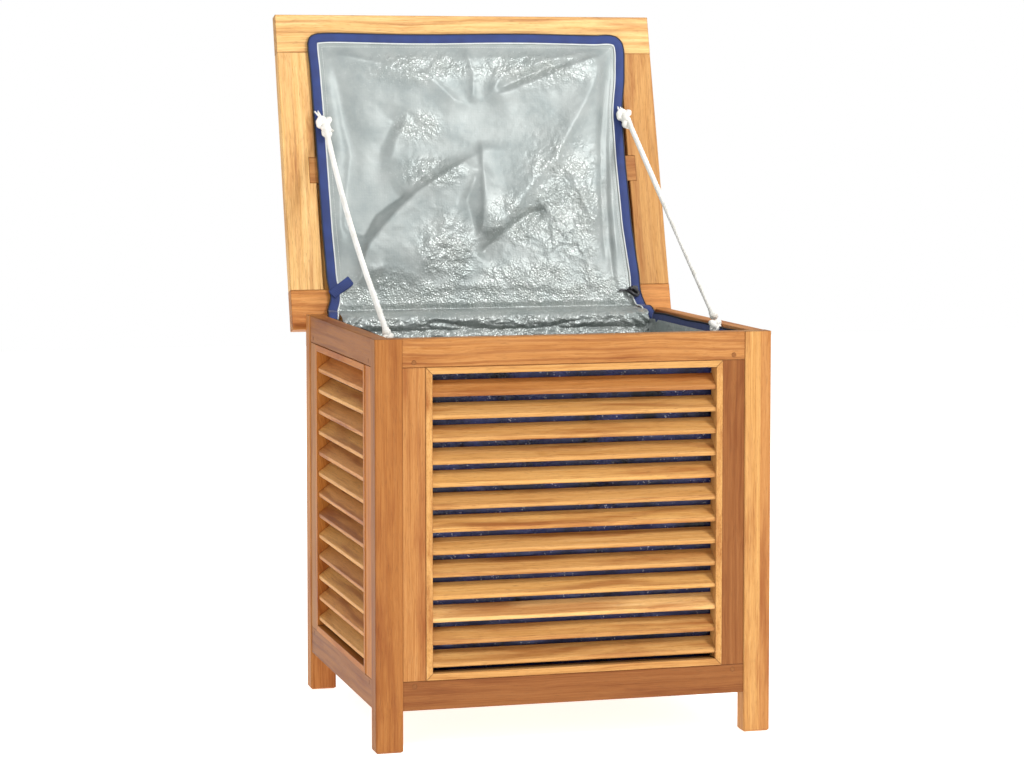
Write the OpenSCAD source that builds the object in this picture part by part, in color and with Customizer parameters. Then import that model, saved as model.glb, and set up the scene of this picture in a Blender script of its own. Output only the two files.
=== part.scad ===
// Laundry hamper with lid: a louvred teak box with a fabric liner bag,
// a plank lid on two butt hinges and two rope stays. Millimetres, Z up.
// Origin: bottom centre of the whole object with the lid open. Front faces -Y.
// The lid is drawn open, leaning back against its two ropes.

/* [Box] */
// Width over the corner posts
body_w = 560; // [420:5:800]
// Depth over the corner posts
body_d = 467; // [360:1:640]
// Height of the rim above the floor
body_h = 558; // [440:1:760]
// Clear height under the bottom rails
foot_h = 56; // [20:1:120]
// Post width seen from the front
post_w = 38; // [26:1:60]
// Post depth seen from the side
post_d = 26; // [24:1:50]
// Chamfer under each foot
foot_ch = 2.5; // [0.5:0.5:5]
// Chamfer on the long edges of posts and rails
edge_ch = 1; // [0.4:0.1:2]

/* [Panels] */
// Thickness of rails and stiles
frame_t = 22; // [18:0.5:26]
// How far the rails stand back from the post faces
frame_inset = 1.5; // [0.5:0.1:4]
// Height of the top rails
top_rail_h = 39; // [28:1:60]
// Height of the bottom rails
bottom_rail_h = 40; // [28:1:60]
// Width of the stiles in the front and back panels
stile_front_w = 32; // [22:1:50]
// Width of the stiles in the side panels
stile_side_w = 41; // [22:1:55]
// Width of the mitred bead around the slats
bead_w = 9.2; // [6:0.2:14]
// How far the bead stands proud of the stiles
bead_proud = 1; // [0.4:0.1:2]
// Number of slats in each panel
slat_count = 13; // [5:1:20]
// Vertical thickness of a slat
slat_t = 7; // [5:0.5:9]
// Rise of a slat from its front edge to its back edge
slat_rise = 14.3; // [8:0.1:18]
// Depth of a slat from front to back
slat_depth = 20; // [12:0.5:20.5]
// How far each slat end is let into the bead
slat_let = 4; // [2:0.5:6]
// Set-back of the slats behind the face of the rails
slat_back = 1.5; // [0.5:0.1:2]
// Gap between the lowest slat and the bead below it
slat_low_gap = 7.5; // [3:0.5:14]
// Clear gap above the top slat
slat_top_gap = 9.7; // [3:0.1:14]
// Diameter of the pegs that lock the panel joints
peg_d = 6; // [4:0.5:9]

/* [Floor] */
// Height of the floor bearers
bearer_h = 18; // [12:1:30]
// Width of the floor bearers
bearer_w = 20; // [12:1:30]
// Number of floor boards
floor_boards_n = 6; // [3:1:10]
// Thickness of the floor boards
floor_t = 8; // [5:0.5:14]

/* [Lid] */
// Lid overhang on each side of the posts
lid_side_over = 17; // [6:0.5:30]
// Lid overhang in front of the posts
lid_front_over = 9; // [4:0.5:25]
// Lid overhang behind the posts
lid_back_over = 12.4; // [10:0.2:16]
// Lid thickness
lid_t = 20; // [16:0.5:28]
// Width of the front and back rails of the lid
lid_rail_w = 60; // [40:1:90]
// Width of the side stiles of the lid
lid_stile_w = 50; // [36:1:80]
// Number of planks in the lid
plank_count = 9; // [4:1:14]
// Thickness of the planks
plank_t = 12; // [8:0.5:14]
// Gap between planks
plank_gap = 1; // [0.4:0.1:3]
// Width of the cross batten under the planks
batten_w = 40; // [24:1:60]
// How far each batten end is let into the stile
batten_let = 11; // [5:0.5:20]
// Opening angle of the lid as drawn
lid_open = 105.5; // [90:0.5:110]
// Gap between the closed lid and the rim
lid_gap = 0.8; // [0.5:0.1:2]

/* [Hinges] */
// Hinge width
hinge_w = 60; // [40:1:90]
// Distance from the box centre to each hinge centre
hinge_x = 170; // [80:1:220]
// Barrel radius
barrel_r = 3.5; // [3:0.1:4]
// Pin radius
pin_r = 1.6; // [1.2:0.1:2]
// Leaf thickness
leaf_t = 1.8; // [1.2:0.1:2]
// Distance of the pin below the rim
pin_drop = 12; // [9:0.5:14]
// Distance of the pin behind the back rail
pin_back = 5.5; // [5.2:0.1:6]
// Screw shank radius
screw_r = 1.5; // [1:0.1:2]

/* [Ropes] */
// Rope diameter
rope_d = 8; // [6:0.5:10]
// Knot radius
knot_r = 10; // [8:0.5:11]

/* [Liner bag] */
// Clearance between the bag and the side panels
bag_gap_x = 14.5; // [6:0.5:60]
// Clearance between the bag and the front and back panels
bag_gap_y = 8; // [5:0.5:60]
// Depth of the bag rim below the rim of the box
bag_drop = 10; // [10:0.5:120]
// Bag wall thickness as drawn
bag_t = 3; // [2:0.5:5]
// Corner radius of the bag
bag_r = 26; // [10:1:50]
// Height of the zip tape around the bag rim
tape_h = 14; // [8:1:20]
// Thickness of the tapes
tape_t = 1.6; // [1:0.1:2.5]
// Clearance between the flap and the side rails with the lid shut
flap_gap_x = 8.5; // [4:0.5:60]
// Clearance between the flap and the front rail with the lid shut
flap_gap_front = 1.9; // [1:0.1:60]
// Clearance between the flap and the back rail with the lid shut
flap_gap_back = 1.1; // [1:0.1:12]
// Thickness of the flap as drawn
flap_t = 2; // [1:0.1:3]
// Width of the zip tape round the flap
flap_tape_w = 12; // [8:1:20]

/* [Output] */
// Node to draw

/* [Hidden] */
$fn = 48;
E = 0.1;
hw = body_w / 2;
hd = body_d / 2;
frame_hx = hw - frame_inset;
frame_hy = hd - frame_inset;
span_front = body_w - 2 * post_w;
span_side = body_d - 2 * post_d;
rim_z = body_h;
open_z0 = foot_h + bottom_rail_h;
open_z1 = rim_z - top_rail_h;
bead_z0 = open_z0 + bead_w;
bead_z1 = open_z1 - bead_w;
slat_h = slat_rise + slat_t;
slat_z0 = bead_z0 + slat_low_gap;
slat_z1 = bead_z1 - slat_top_gap - slat_h;
slat_pitch = (slat_z1 - slat_z0) / (slat_count - 1);
slat_fit = 0.1;
peg_l = 8;
floor_z = foot_h + 4 + bearer_h;
pin_y = frame_hy + pin_back;
pin_z = rim_z - pin_drop;
lid_z0 = rim_z + lid_gap;
lid_hx = hw + lid_side_over;
lid_y0 = -hd - lid_front_over;
lid_y1 = hd + lid_back_over;
lid_l = lid_y1 - lid_y0;
knuckle_gap = 0.4;
knuckle_w = hinge_w / 3;
leaf_gap = 0.3;
leaf_z0 = open_z1 + 1;
leaf_z1 = pin_z - barrel_r - 1;
inner_hx = frame_hx - frame_t;
inner_hy = frame_hy - frame_t;
clear_hy = min(inner_hy, hd - post_d);
bag_hx = inner_hx - bag_gap_x;
bag_hy = inner_hy - bag_gap_y;
bag_top = rim_z - bag_drop;
bag_z0 = floor_z + floor_t + 0.4;
flap_hx = inner_hx - flap_gap_x;
flap_y1 = clear_hy - flap_gap_back;
flap_y0 = -clear_hy + flap_gap_front;
flap_l = flap_y1 - flap_y0;
strip_hx = min(flap_hx - 6, hw - post_w - 0.3);
flap_z = lid_z0 - 0.8 - flap_t;
slider_x = flap_hx - 8;
slider_y = flap_y1 - 10;
knot_l = [-flap_hx + 15, lid_y1 - 315];
knot_rr = [flap_hx - 2.5, lid_y1 - 326];
knot_box_l = [-inner_hx + 8, -hd + 60, rim_z - 2];
knot_box_r = [inner_hx - 9.5, -hd + 134, rim_z + 4];
rope_sides = 12;
reach_y = pin_y + sin(lid_open) * (lid_z0 + lid_t - pin_z) - cos(lid_open) * (pin_y - lid_y0);
mid_y = round((reach_y - hd) / 2);
teak = [0.80, 0.56, 0.31];
teak_light = [0.87, 0.65, 0.38];
teak_dark = [0.70, 0.45, 0.24];
steel = [0.72, 0.72, 0.70];
navy = [0.12, 0.16, 0.36];
silver = [0.72, 0.74, 0.77];
white = [0.93, 0.91, 0.87];
black = [0.08, 0.08, 0.09];

// Rope routes in the pose drawn, from the lid to the box.
route_l = [[-233, 310.5, 833.5], [-234.5, 226, 768], [-236.5, 127, 702], [-239, 27, 646],
           [-242, -72, 598], [-247, -164, 560]];
route_r = [[245.5, 313, 844.5], [245.7, 240, 793.5], [246, 150, 731], [246.3, 60, 669.5],
           [246.6, -20, 615], [247, -90, 568]];

// Moves the box back or forward so that the origin is the bottom centre of
// the whole object with its lid open.
module placed() { translate([0, -mid_y, 0]) children(); }

// Octagon-edged bar from the origin, with the chamfered edges along Z.
module bar_z(x, y, z, c) {
  linear_extrude(z)
    polygon([[c, 0], [x - c, 0], [x, c], [x, y - c],
             [x - c, y], [c, y], [0, y - c], [0, c]]);
}

// The same bar with its chamfered edges along X.
module bar_x(x, y, z, c) {
  translate([0, 0, z]) rotate([0, 90, 0]) bar_z(z, y, x, c);
}

// The same bar with its chamfered edges along Y.
module bar_y(x, y, z, c) {
  translate([0, y, 0]) rotate([90, 0, 0]) bar_z(x, z, y, c);
}

// Corner post with its foot; the foot edges are eased all round.
module post(sx, sy) {
  translate([sx > 0 ? hw - post_w : -hw, sy > 0 ? hd - post_d : -hd, 0])
    difference() {
      bar_z(post_w, post_d, rim_z, edge_ch);
      for (s = [0, 1]) {
        translate([s * post_w, post_d / 2, 0]) rotate([0, 45, 0])
          cube([foot_ch * 1.414, post_d * 2, foot_ch * 1.414], center = true);
        translate([post_w / 2, s * post_d, 0]) rotate([45, 0, 0])
          cube([post_w * 2, foot_ch * 1.414, foot_ch * 1.414], center = true);
      }
    }
}

// Panels are drawn in their own frame: X along the panel from its left
// post, Y inwards from the face of the rails, Z up.
module place_front() { translate([-hw + post_w, -frame_hy, 0]) children(); }
module place_back() { rotate([0, 0, 180]) place_front() children(); }
module place_right() {
  translate([frame_hx, -hd + post_d, 0]) rotate([0, 0, 90]) children();
}
module place_left() { rotate([0, 0, 180]) place_right() children(); }

module peg_spots(span, stile) {
  for (x = [stile / 2, span - stile / 2]) {
    translate([x, 0, open_z0 - 7]) children();
    translate([x, 0, open_z1 + 7]) children();
  }
}

module peg_hole() {
  translate([0, -E, 0]) rotate([-90, 0, 0]) cylinder(r = peg_d / 2 + 0.05, h = peg_l + E);
}

module peg() {
  translate([0, -0.15, 0]) rotate([-90, 0, 0]) cylinder(r = peg_d / 2, h = peg_l);
}

module top_rail(span, stile) {
  difference() {
    translate([0, 0, open_z1]) bar_x(span, frame_t, top_rail_h, edge_ch);
    peg_spots(span, stile) peg_hole();
  }
}

module bottom_rail(span, stile) {
  difference() {
    translate([0, 0, foot_h]) bar_x(span, frame_t, bottom_rail_h, edge_ch);
    peg_spots(span, stile) peg_hole();
  }
}

module stile(span, width, right) {
  translate([right ? span - width : 0, 0, open_z0])
    bar_z(width, frame_t, open_z1 - open_z0, edge_ch / 2);
}

// Side profile of a slat: blunt front edge, face rising inwards.
module slat_profile(grow) {
  f = slat_back - grow;
  b = slat_back + slat_depth + grow;
  polygon([[f, 1.2 - grow], [f + 1.2, -grow], [b, slat_rise - grow],
           [b, slat_h + grow], [f + 1, slat_t + grow], [f, slat_t - 0.8 + grow]]);
}

module slats(span, stile, grow) {
  x0 = stile + bead_w - slat_let - grow;
  for (k = [0 : slat_count - 1])
    translate([x0, 0, slat_z0 + k * slat_pitch]) rotate([90, 0, 90])
      linear_extrude(span - 2 * x0) slat_profile(grow);
}

// One side of the bead, with mitred ends, its length along X.
module bead_bar(len) {
  translate([0, frame_t, 0]) rotate([90, 0, 0]) linear_extrude(frame_t + bead_proud)
    polygon([[0, 0], [len, 0], [len - bead_w, bead_w], [bead_w, bead_w]]);
}

module bead(span, stile) {
  w = span - 2 * stile;
  h = open_z1 - open_z0;
  difference() {
    translate([stile, 0, 0]) {
      translate([0.05, 0, open_z0]) bead_bar(w - 0.1);
      translate([w, 0, open_z1]) rotate([0, 180, 0]) translate([0.05, 0, 0]) bead_bar(w - 0.1);
      translate([0, 0, open_z1 - 0.05]) rotate([0, 90, 0]) bead_bar(h - 0.1);
      translate([w, 0, open_z0 + 0.05]) rotate([0, -90, 0]) bead_bar(h - 0.1);
    }
    slats(span, stile, slat_fit);
  }
}

module floor_bearers() {
  y = inner_hy - bearer_w;
  l = body_w - 2 * post_w;
  color(teak_dark) placed() for (s = [-1, 1])
    translate([-l / 2, s > 0 ? y : -y - bearer_w, foot_h + 4]) bar_x(l, bearer_w, bearer_h, 0.8);
}

module floor_boards() {
  l = 2 * (hd - post_d) - 2;
  w = 2 * inner_hx - 8;
  pitch = (w + 6) / floor_boards_n;
  color(teak) placed() for (k = [0 : floor_boards_n - 1])
    translate([-w / 2 + k * pitch, -l / 2, floor_z]) bar_y(pitch - 6, l, floor_t, 0.8);
}

// Everything on the lid is drawn closed and then swung open.
module swing() {
  translate([0, pin_y, pin_z]) rotate([-lid_open, 0, 0]) translate([0, -pin_y, -pin_z]) children();
}

module lid_recesses() {
  for (s = [-1, 1])
    translate([s * hinge_x - hinge_w / 2 - 0.3, pin_y - 34, lid_z0 - E])
      cube([hinge_w + 0.6, 34 + leaf_t + 0.5, leaf_t + 0.1 + E]);
  leaf_screws_lid() cylinder(r = screw_r + 0.05, h = 9);
}

module lid_rail(back) {
  difference() {
    translate([-lid_hx, back ? lid_y1 - lid_rail_w : lid_y0, lid_z0])
      bar_x(2 * lid_hx, lid_rail_w, lid_t, edge_ch);
    if (back) lid_recesses();
  }
}

module lid_stile(s) {
  l = lid_l - 2 * lid_rail_w;
  difference() {
    translate([s > 0 ? lid_hx - lid_stile_w : -lid_hx, lid_y0 + lid_rail_w, lid_z0])
      bar_y(lid_stile_w, l, lid_t, edge_ch);
    translate([0, (lid_y0 + lid_y1) / 2, lid_z0 + (lid_t - plank_t) / 2 - E])
      cube([2 * (lid_hx - lid_stile_w + batten_let) + 0.2, batten_w + 0.2,
            lid_t - plank_t + 2 * E], center = true);
  }
}

module lid_batten() {
  l = 2 * (lid_hx - lid_stile_w + batten_let);
  color(teak) placed() swing() translate([-l / 2, (lid_y0 + lid_y1) / 2 - batten_w / 2, lid_z0])
    bar_x(l, batten_w, lid_t - plank_t - 0.2, 0.6);
}

module lid_planks() {
  w = 2 * (lid_hx - lid_stile_w);
  l = lid_l - 2 * lid_rail_w - 0.2;
  pitch = (w + plank_gap) / plank_count;
  color(teak_light) placed() swing() for (k = [0 : plank_count - 1])
    translate([-w / 2 + k * pitch + 0.1, lid_y0 + lid_rail_w + 0.1, lid_z0 + lid_t - plank_t])
      bar_y(pitch - plank_gap - 0.2, l, plank_t, 0.8);
}

module barrel(x0, len) {
  translate([x0, pin_y, pin_z]) rotate([0, 90, 0]) cylinder(r = barrel_r, h = len);
}

module bore(x0, len) {
  translate([x0, pin_y, pin_z]) rotate([0, 90, 0]) cylinder(r = pin_r + 0.05, h = len);
}

module leaf_screws_box() {
  for (s = [-1, 1], k = [-1, 0, 1])
    translate([s * hinge_x + k * hinge_w / 3, frame_hy, (leaf_z0 + leaf_z1) / 2])
      rotate([90, 0, 0]) children();
}

module leaf_screws_lid() {
  for (s = [-1, 1], k = [-1, 0, 1])
    translate([s * hinge_x + k * hinge_w / 3, pin_y - 22, lid_z0 + leaf_t]) children();
}

// Box leaf: flat on the back rail, rolled round the pin in the middle.
module hinge_leaf_box() {
  color(steel) placed() for (s = [-1, 1])
    difference() {
      union() {
        translate([s * hinge_x - hinge_w / 2, frame_hy, leaf_z0])
          cube([hinge_w, leaf_t, leaf_z1 - leaf_z0]);
        translate([s * hinge_x - knuckle_w / 2 + knuckle_gap, frame_hy, pin_z - barrel_r - 2])
          cube([knuckle_w - 2 * knuckle_gap, pin_back - 1.9, barrel_r + 2]);
        barrel(s * hinge_x - knuckle_w / 2 + knuckle_gap, knuckle_w - 2 * knuckle_gap);
      }
      bore(s * hinge_x - hinge_w, 2 * hinge_w);
      leaf_screws_box() screw_cut();
    }
}

// Lid leaf: two rolled knuckles, a short upright and a flat let into the lid.
module hinge_leaf_lid() {
  up_y = pin_y - barrel_r + leaf_gap;
  color(steel) placed() swing() for (s = [-1, 1])
    difference() {
      union() {
        for (k = [-1, 1]) {
          x = s * hinge_x + (k > 0 ? knuckle_w / 2 : -hinge_w / 2);
          barrel(x, knuckle_w);
          translate([x, up_y, pin_z]) cube([knuckle_w, leaf_t, pin_drop + lid_gap + E]);
        }
        translate([s * hinge_x - hinge_w / 2, pin_y - 32, lid_z0])
          cube([hinge_w, 32 - barrel_r + leaf_gap + leaf_t, leaf_t]);
      }
      bore(s * hinge_x - hinge_w, 2 * hinge_w);
      leaf_screws_lid() screw_cut();
    }
}

module hinge_pins() {
  color(steel) placed() for (s = [-1, 1])
    translate([s * hinge_x - hinge_w / 2 - 0.6, pin_y, pin_z])
      rotate([0, 90, 0]) cylinder(r = pin_r, h = hinge_w + 1.2);
}

// Flat-headed screw sunk in the leaf; its shank runs along +Z.
module screw() {
  difference() {
    cylinder(r = 2.8, h = 1.4);
    translate([-4, -0.4, -0.5]) cube([8, 0.8, 1.1]);
  }
  translate([0, 0, 1]) cylinder(r = screw_r, h = 8);
}

module screw_cut() {
  translate([0, 0, -10]) cylinder(r = screw_r + 0.05, h = 20);
  translate([0, 0, -10 - leaf_t]) cylinder(r = 2.85, h = 10 + 1.45);
}

module hinge_screws_box() {
  color(steel) placed() leaf_screws_box() translate([0, 0, -leaf_t]) screw();
}

module hinge_screws_lid() {
  color(steel) placed() swing() leaf_screws_lid() translate([0, 0, -leaf_t]) screw();
}

// A rope as one swept tube through the route points.
function lerp3(a, b, t) = a + (b - a) * t;
function unit3(v) = v / norm(v);
function path_pts(r, n) = [for (i = [0 : len(r) - 2]) for (j = [0 : n - 1]) lerp3(r[i], r[i + 1], j / n),
                           r[len(r) - 1]];
function ring_at(p, d) = [for (k = [0 : rope_sides - 1])
  let (a = 360 * k / rope_sides, x = unit3(cross(d, [1, 0.02, 0])), y = unit3(cross(d, x)))
  p + (rope_d / 2) * (cos(a) * x + sin(a) * y)];

module rope(r) {
  p = path_pts(r, 5);
  n = len(p);
  m = rope_sides;
  pts = [for (i = [0 : n - 1])
    each ring_at(p[i], unit3(p[min(i + 1, n - 1)] - p[max(i - 1, 0)]))];
  sides = [for (i = [0 : n - 2]) for (k = [0 : m - 1])
    [i * m + k, i * m + (k + 1) % m, (i + 1) * m + (k + 1) % m, (i + 1) * m + k]];
  caps = [[for (k = [m - 1 : -1 : 0]) k], [for (k = [0 : m - 1]) (n - 1) * m + k]];
  polyhedron(points = pts, faces = concat(sides, caps), convexity = 4);
}

// Knot bearing on the underside of the flap edge, drawn on the closed lid.
module knot_lid(p) {
  swing() difference() {
    translate([p[0], p[1], flap_z - 0.5 - knot_r * 0.8]) sphere(r = knot_r);
    translate([p[0] - 20, p[1] - 20, flap_z - 0.5]) cube([40, 40, 20]);
  }
}

// Knot bearing on the inner face of a side rail.
module knot_box(p) {
  difference() {
    translate(p) sphere(r = knot_r - 1.5);
    translate([p[0] > 0 ? inner_hx - 0.1 : -inner_hx - 39.9, p[1] - 20, p[2] - 30])
      cube([40, 40, 60]);
  }
}

module rounded_slab(x, y, r) {
  square([2 * x, 2 * (y - r)], center = true);
  square([2 * (x - r), 2 * y], center = true);
  for (i = [-1, 1], j = [-1, 1]) translate([i * (x - r), j * (y - r)]) circle(r);
}

// Liner bag: closed walls and floor with an open mouth.
module bag_shell() {
  color(silver) placed() difference() {
    translate([0, 0, bag_z0]) linear_extrude(bag_top - bag_z0) rounded_slab(bag_hx, bag_hy, bag_r);
    translate([0, 0, bag_z0 + bag_t]) linear_extrude(bag_top)
      rounded_slab(bag_hx - bag_t, bag_hy - bag_t, bag_r - bag_t);
  }
}

module bag_rim_tape() {
  color(navy) placed() translate([0, 0, bag_top - tape_h]) linear_extrude(tape_h) difference() {
    rounded_slab(bag_hx + tape_t, bag_hy + tape_t, bag_r + tape_t);
    rounded_slab(bag_hx + 0.05, bag_hy + 0.05, bag_r);
  }
}

// Strip of bag fabric that runs from the back of the mouth over the back
// rail and up to the foot of the flap.
module bag_back_strip() {
  color(silver) placed() translate([strip_hx, 0, 0]) rotate([90, 0, -90]) linear_extrude(2 * strip_hx)
    polygon([[-bag_hy + 2, bag_top + 0.2], [-bag_hy + 0.5, bag_top + 0.2],
             [-inner_hy + 0.7, rim_z + 0.4], [-frame_hy, rim_z + 0.4],
             [-frame_hy - 14, rim_z + 5], [-frame_hy - 14, rim_z + 6.6],
             [-frame_hy, rim_z + 2], [-inner_hy + 1.8, rim_z + 2]]);
}

module bag_flap() {
  color(silver) placed() swing() translate([0, (flap_y0 + flap_y1) / 2, flap_z]) linear_extrude(flap_t)
    rounded_slab(flap_hx - flap_tape_w, flap_l / 2 - flap_tape_w, 6);
}

module flap_tape() {
  color(navy) placed() swing() translate([0, (flap_y0 + flap_y1) / 2, flap_z]) linear_extrude(flap_t) difference() {
    rounded_slab(flap_hx, flap_l / 2, 16);
    rounded_slab(flap_hx - flap_tape_w + 0.05, flap_l / 2 - flap_tape_w + 0.05, 6);
  }
}

// Zip slider on the flap edge: a flat body with a bridge over the top.
module zip_slider() {
  color(black) placed() swing() translate([slider_x, slider_y, flap_z - 0.4]) {
    translate([-4.5, -7, -3]) bar_y(9, 14, 3, 0.6);
    translate([-1.2, -5, -5]) cube([2.4, 3, 2]);
    translate([-1.2, 3, -5]) cube([2.4, 3, 2]);
    translate([-1.2, -5, -6.2]) cube([2.4, 11, 1.2]);
  }
}

module zip_pull() {
  color(black) placed() swing() translate([slider_x, slider_y, flap_z - 0.4])
    translate([-27, -1.5, -4.9]) bar_x(25.5, 3, 1.6, 0.4);
}

// One module per node.
module post_front_left() { color(teak) placed() post(-1, -1); }
module post_front_right() { color(teak) placed() post(1, -1); }
module post_back_left() { color(teak) placed() post(-1, 1); }
module post_back_right() { color(teak) placed() post(1, 1); }
module front_top_rail() { color(teak) placed() place_front() top_rail(span_front, stile_front_w); }
module front_bottom_rail() { color(teak_dark) placed() place_front() bottom_rail(span_front, stile_front_w); }
module front_stile_left() { color(teak) placed() place_front() stile(span_front, stile_front_w, false); }
module front_stile_right() { color(teak) placed() place_front() stile(span_front, stile_front_w, true); }
module front_bead() { color(teak_light) placed() place_front() bead(span_front, stile_front_w); }
module front_slats() { color(teak) placed() place_front() slats(span_front, stile_front_w, 0); }
module back_top_rail() {
  color(teak) placed() difference() {
    place_back() top_rail(span_front, stile_front_w);
    leaf_screws_box() translate([0, 0, -E]) cylinder(r = screw_r + 0.05, h = 9);
  }
}
module back_bottom_rail() { color(teak_dark) placed() place_back() bottom_rail(span_front, stile_front_w); }
module back_stile_right() { color(teak) placed() place_back() stile(span_front, stile_front_w, false); }
module back_stile_left() { color(teak) placed() place_back() stile(span_front, stile_front_w, true); }
module back_bead() { color(teak_light) placed() place_back() bead(span_front, stile_front_w); }
module back_slats() { color(teak) placed() place_back() slats(span_front, stile_front_w, 0); }
module left_top_rail() { color(teak) placed() place_left() top_rail(span_side, stile_side_w); }
module left_bottom_rail() { color(teak_dark) placed() place_left() bottom_rail(span_side, stile_side_w); }
module left_stile_back() { color(teak) placed() place_left() stile(span_side, stile_side_w, false); }
module left_stile_front() { color(teak) placed() place_left() stile(span_side, stile_side_w, true); }
module left_bead() { color(teak_light) placed() place_left() bead(span_side, stile_side_w); }
module left_slats() { color(teak) placed() place_left() slats(span_side, stile_side_w, 0); }
module right_top_rail() { color(teak) placed() place_right() top_rail(span_side, stile_side_w); }
module right_bottom_rail() { color(teak_dark) placed() place_right() bottom_rail(span_side, stile_side_w); }
module right_stile_front() { color(teak) placed() place_right() stile(span_side, stile_side_w, false); }
module right_stile_back() { color(teak) placed() place_right() stile(span_side, stile_side_w, true); }
module right_bead() { color(teak_light) placed() place_right() bead(span_side, stile_side_w); }
module right_slats() { color(teak) placed() place_right() slats(span_side, stile_side_w, 0); }
module joint_pegs() {
  color(teak_dark) placed() {
    place_front() peg_spots(span_front, stile_front_w) peg();
    place_back() peg_spots(span_front, stile_front_w) peg();
    place_left() peg_spots(span_side, stile_side_w) peg();
    place_right() peg_spots(span_side, stile_side_w) peg();
  }
}
module lid_front_rail() { color(teak) placed() swing() lid_rail(false); }
module lid_back_rail() { color(teak) placed() swing() lid_rail(true); }
module lid_stile_left() { color(teak) placed() swing() lid_stile(-1); }
module lid_stile_right() { color(teak) placed() swing() lid_stile(1); }
module rope_left() { color(white) placed() rope(route_l); }
module rope_right() { color(white) placed() rope(route_r); }
module knot_lid_left() { color(white) placed() knot_lid(knot_l); }
module knot_lid_right() { color(white) placed() knot_lid(knot_rr); }
module knot_box_left() { color(white) placed() knot_box(knot_box_l); }
module knot_box_right() { color(white) placed() knot_box(knot_box_r); }

post_front_left();
post_front_right();
post_back_left();
post_back_right();
front_top_rail();
front_bottom_rail();
front_stile_left();
front_stile_right();
front_bead();
front_slats();
back_top_rail();
back_bottom_rail();
back_stile_left();
back_stile_right();
back_bead();
back_slats();
left_top_rail();
left_bottom_rail();
left_stile_front();
left_stile_back();
left_bead();
left_slats();
right_top_rail();
right_bottom_rail();
right_stile_front();
right_stile_back();
right_bead();
right_slats();
joint_pegs();
floor_bearers();
floor_boards();
lid_front_rail();
lid_back_rail();
lid_stile_left();
lid_stile_right();
lid_batten();
lid_planks();
hinge_leaf_box();
hinge_leaf_lid();
hinge_pins();
hinge_screws_box();
hinge_screws_lid();
rope_left();
rope_right();
knot_lid_left();
knot_lid_right();
knot_box_left();
knot_box_right();
bag_shell();
bag_rim_tape();
bag_back_strip();
bag_flap();
flap_tape();
zip_slider();
zip_pull();
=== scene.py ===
"""Teak laundry hamper with a hinged lid, rope stays and a zip-topped liner bag."""
import bpy
import math
import numpy as np
from mathutils import Matrix, Vector


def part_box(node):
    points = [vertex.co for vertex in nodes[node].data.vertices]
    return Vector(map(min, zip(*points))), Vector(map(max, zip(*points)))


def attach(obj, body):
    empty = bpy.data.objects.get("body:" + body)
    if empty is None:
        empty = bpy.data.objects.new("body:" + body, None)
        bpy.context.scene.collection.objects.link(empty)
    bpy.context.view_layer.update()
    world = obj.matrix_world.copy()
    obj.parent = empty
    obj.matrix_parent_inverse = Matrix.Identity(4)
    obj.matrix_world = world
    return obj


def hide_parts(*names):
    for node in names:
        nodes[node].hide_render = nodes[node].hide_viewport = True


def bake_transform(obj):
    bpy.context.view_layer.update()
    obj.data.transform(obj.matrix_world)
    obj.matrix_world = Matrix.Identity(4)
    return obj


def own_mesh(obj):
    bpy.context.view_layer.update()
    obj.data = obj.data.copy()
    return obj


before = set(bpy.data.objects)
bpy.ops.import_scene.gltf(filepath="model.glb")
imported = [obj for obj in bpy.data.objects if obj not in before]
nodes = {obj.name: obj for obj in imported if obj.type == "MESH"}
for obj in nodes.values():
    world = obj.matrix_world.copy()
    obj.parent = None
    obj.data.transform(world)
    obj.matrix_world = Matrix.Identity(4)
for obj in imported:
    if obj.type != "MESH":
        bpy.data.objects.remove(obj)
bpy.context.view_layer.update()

MM = 0.001

# ---------------------------------------------------------------- camera
# A long lens from the front left, a little above the rim, with the axis
# nearly level so that the uprights stay upright.
cam = bpy.data.objects.new("camera", bpy.data.cameras.new("camera"))
bpy.context.scene.collection.objects.link(cam)
bpy.context.scene.camera = cam
look = Vector((0.26362, 0.96233, -0.06647)).normalized()
right = look.cross(Vector((0, 0, 1))).normalized()
up = right.cross(look)
turn = Matrix((right, up, -look)).transposed().to_4x4()
cam.matrix_world = Matrix.Translation((-1.11015, -4.0365, 0.87797)) @ turn
cam.data.sensor_width = 36
cam.data.lens = 101.19
cam.data.shift_y = -0.0918

# ------------------------------------------------- places on the open lid
HINGE = np.array([155.5, 546.0])
OPEN = math.radians(105.5)
# The closed lid's back edge and underside.
LID_Y1 = 163.9
LID_Z0 = 558.8
RISE = np.array([0, -math.cos(OPEN), math.sin(OPEN)])
FACE = np.array([0, -math.sin(OPEN), -math.cos(OPEN)])
back_y, back_z = LID_Y1 - HINGE[0], LID_Z0 - HINGE[1]
foot = HINGE + np.array([math.cos(OPEN) * back_y + math.sin(OPEN) * back_z,
                         -math.sin(OPEN) * back_y + math.cos(OPEN) * back_z])


def on_lid(x, u, w):
    """A point x across the lid, u up from its back edge and w out from its underside, in mm."""
    x, u, w = np.broadcast_arrays(*(np.asarray(a, float) for a in (x, u, w)))
    y = foot[0] + u * RISE[1] + w * FACE[1]
    z = foot[1] + u * RISE[2] + w * FACE[2]
    return np.stack([x, y, z], -1)


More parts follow.
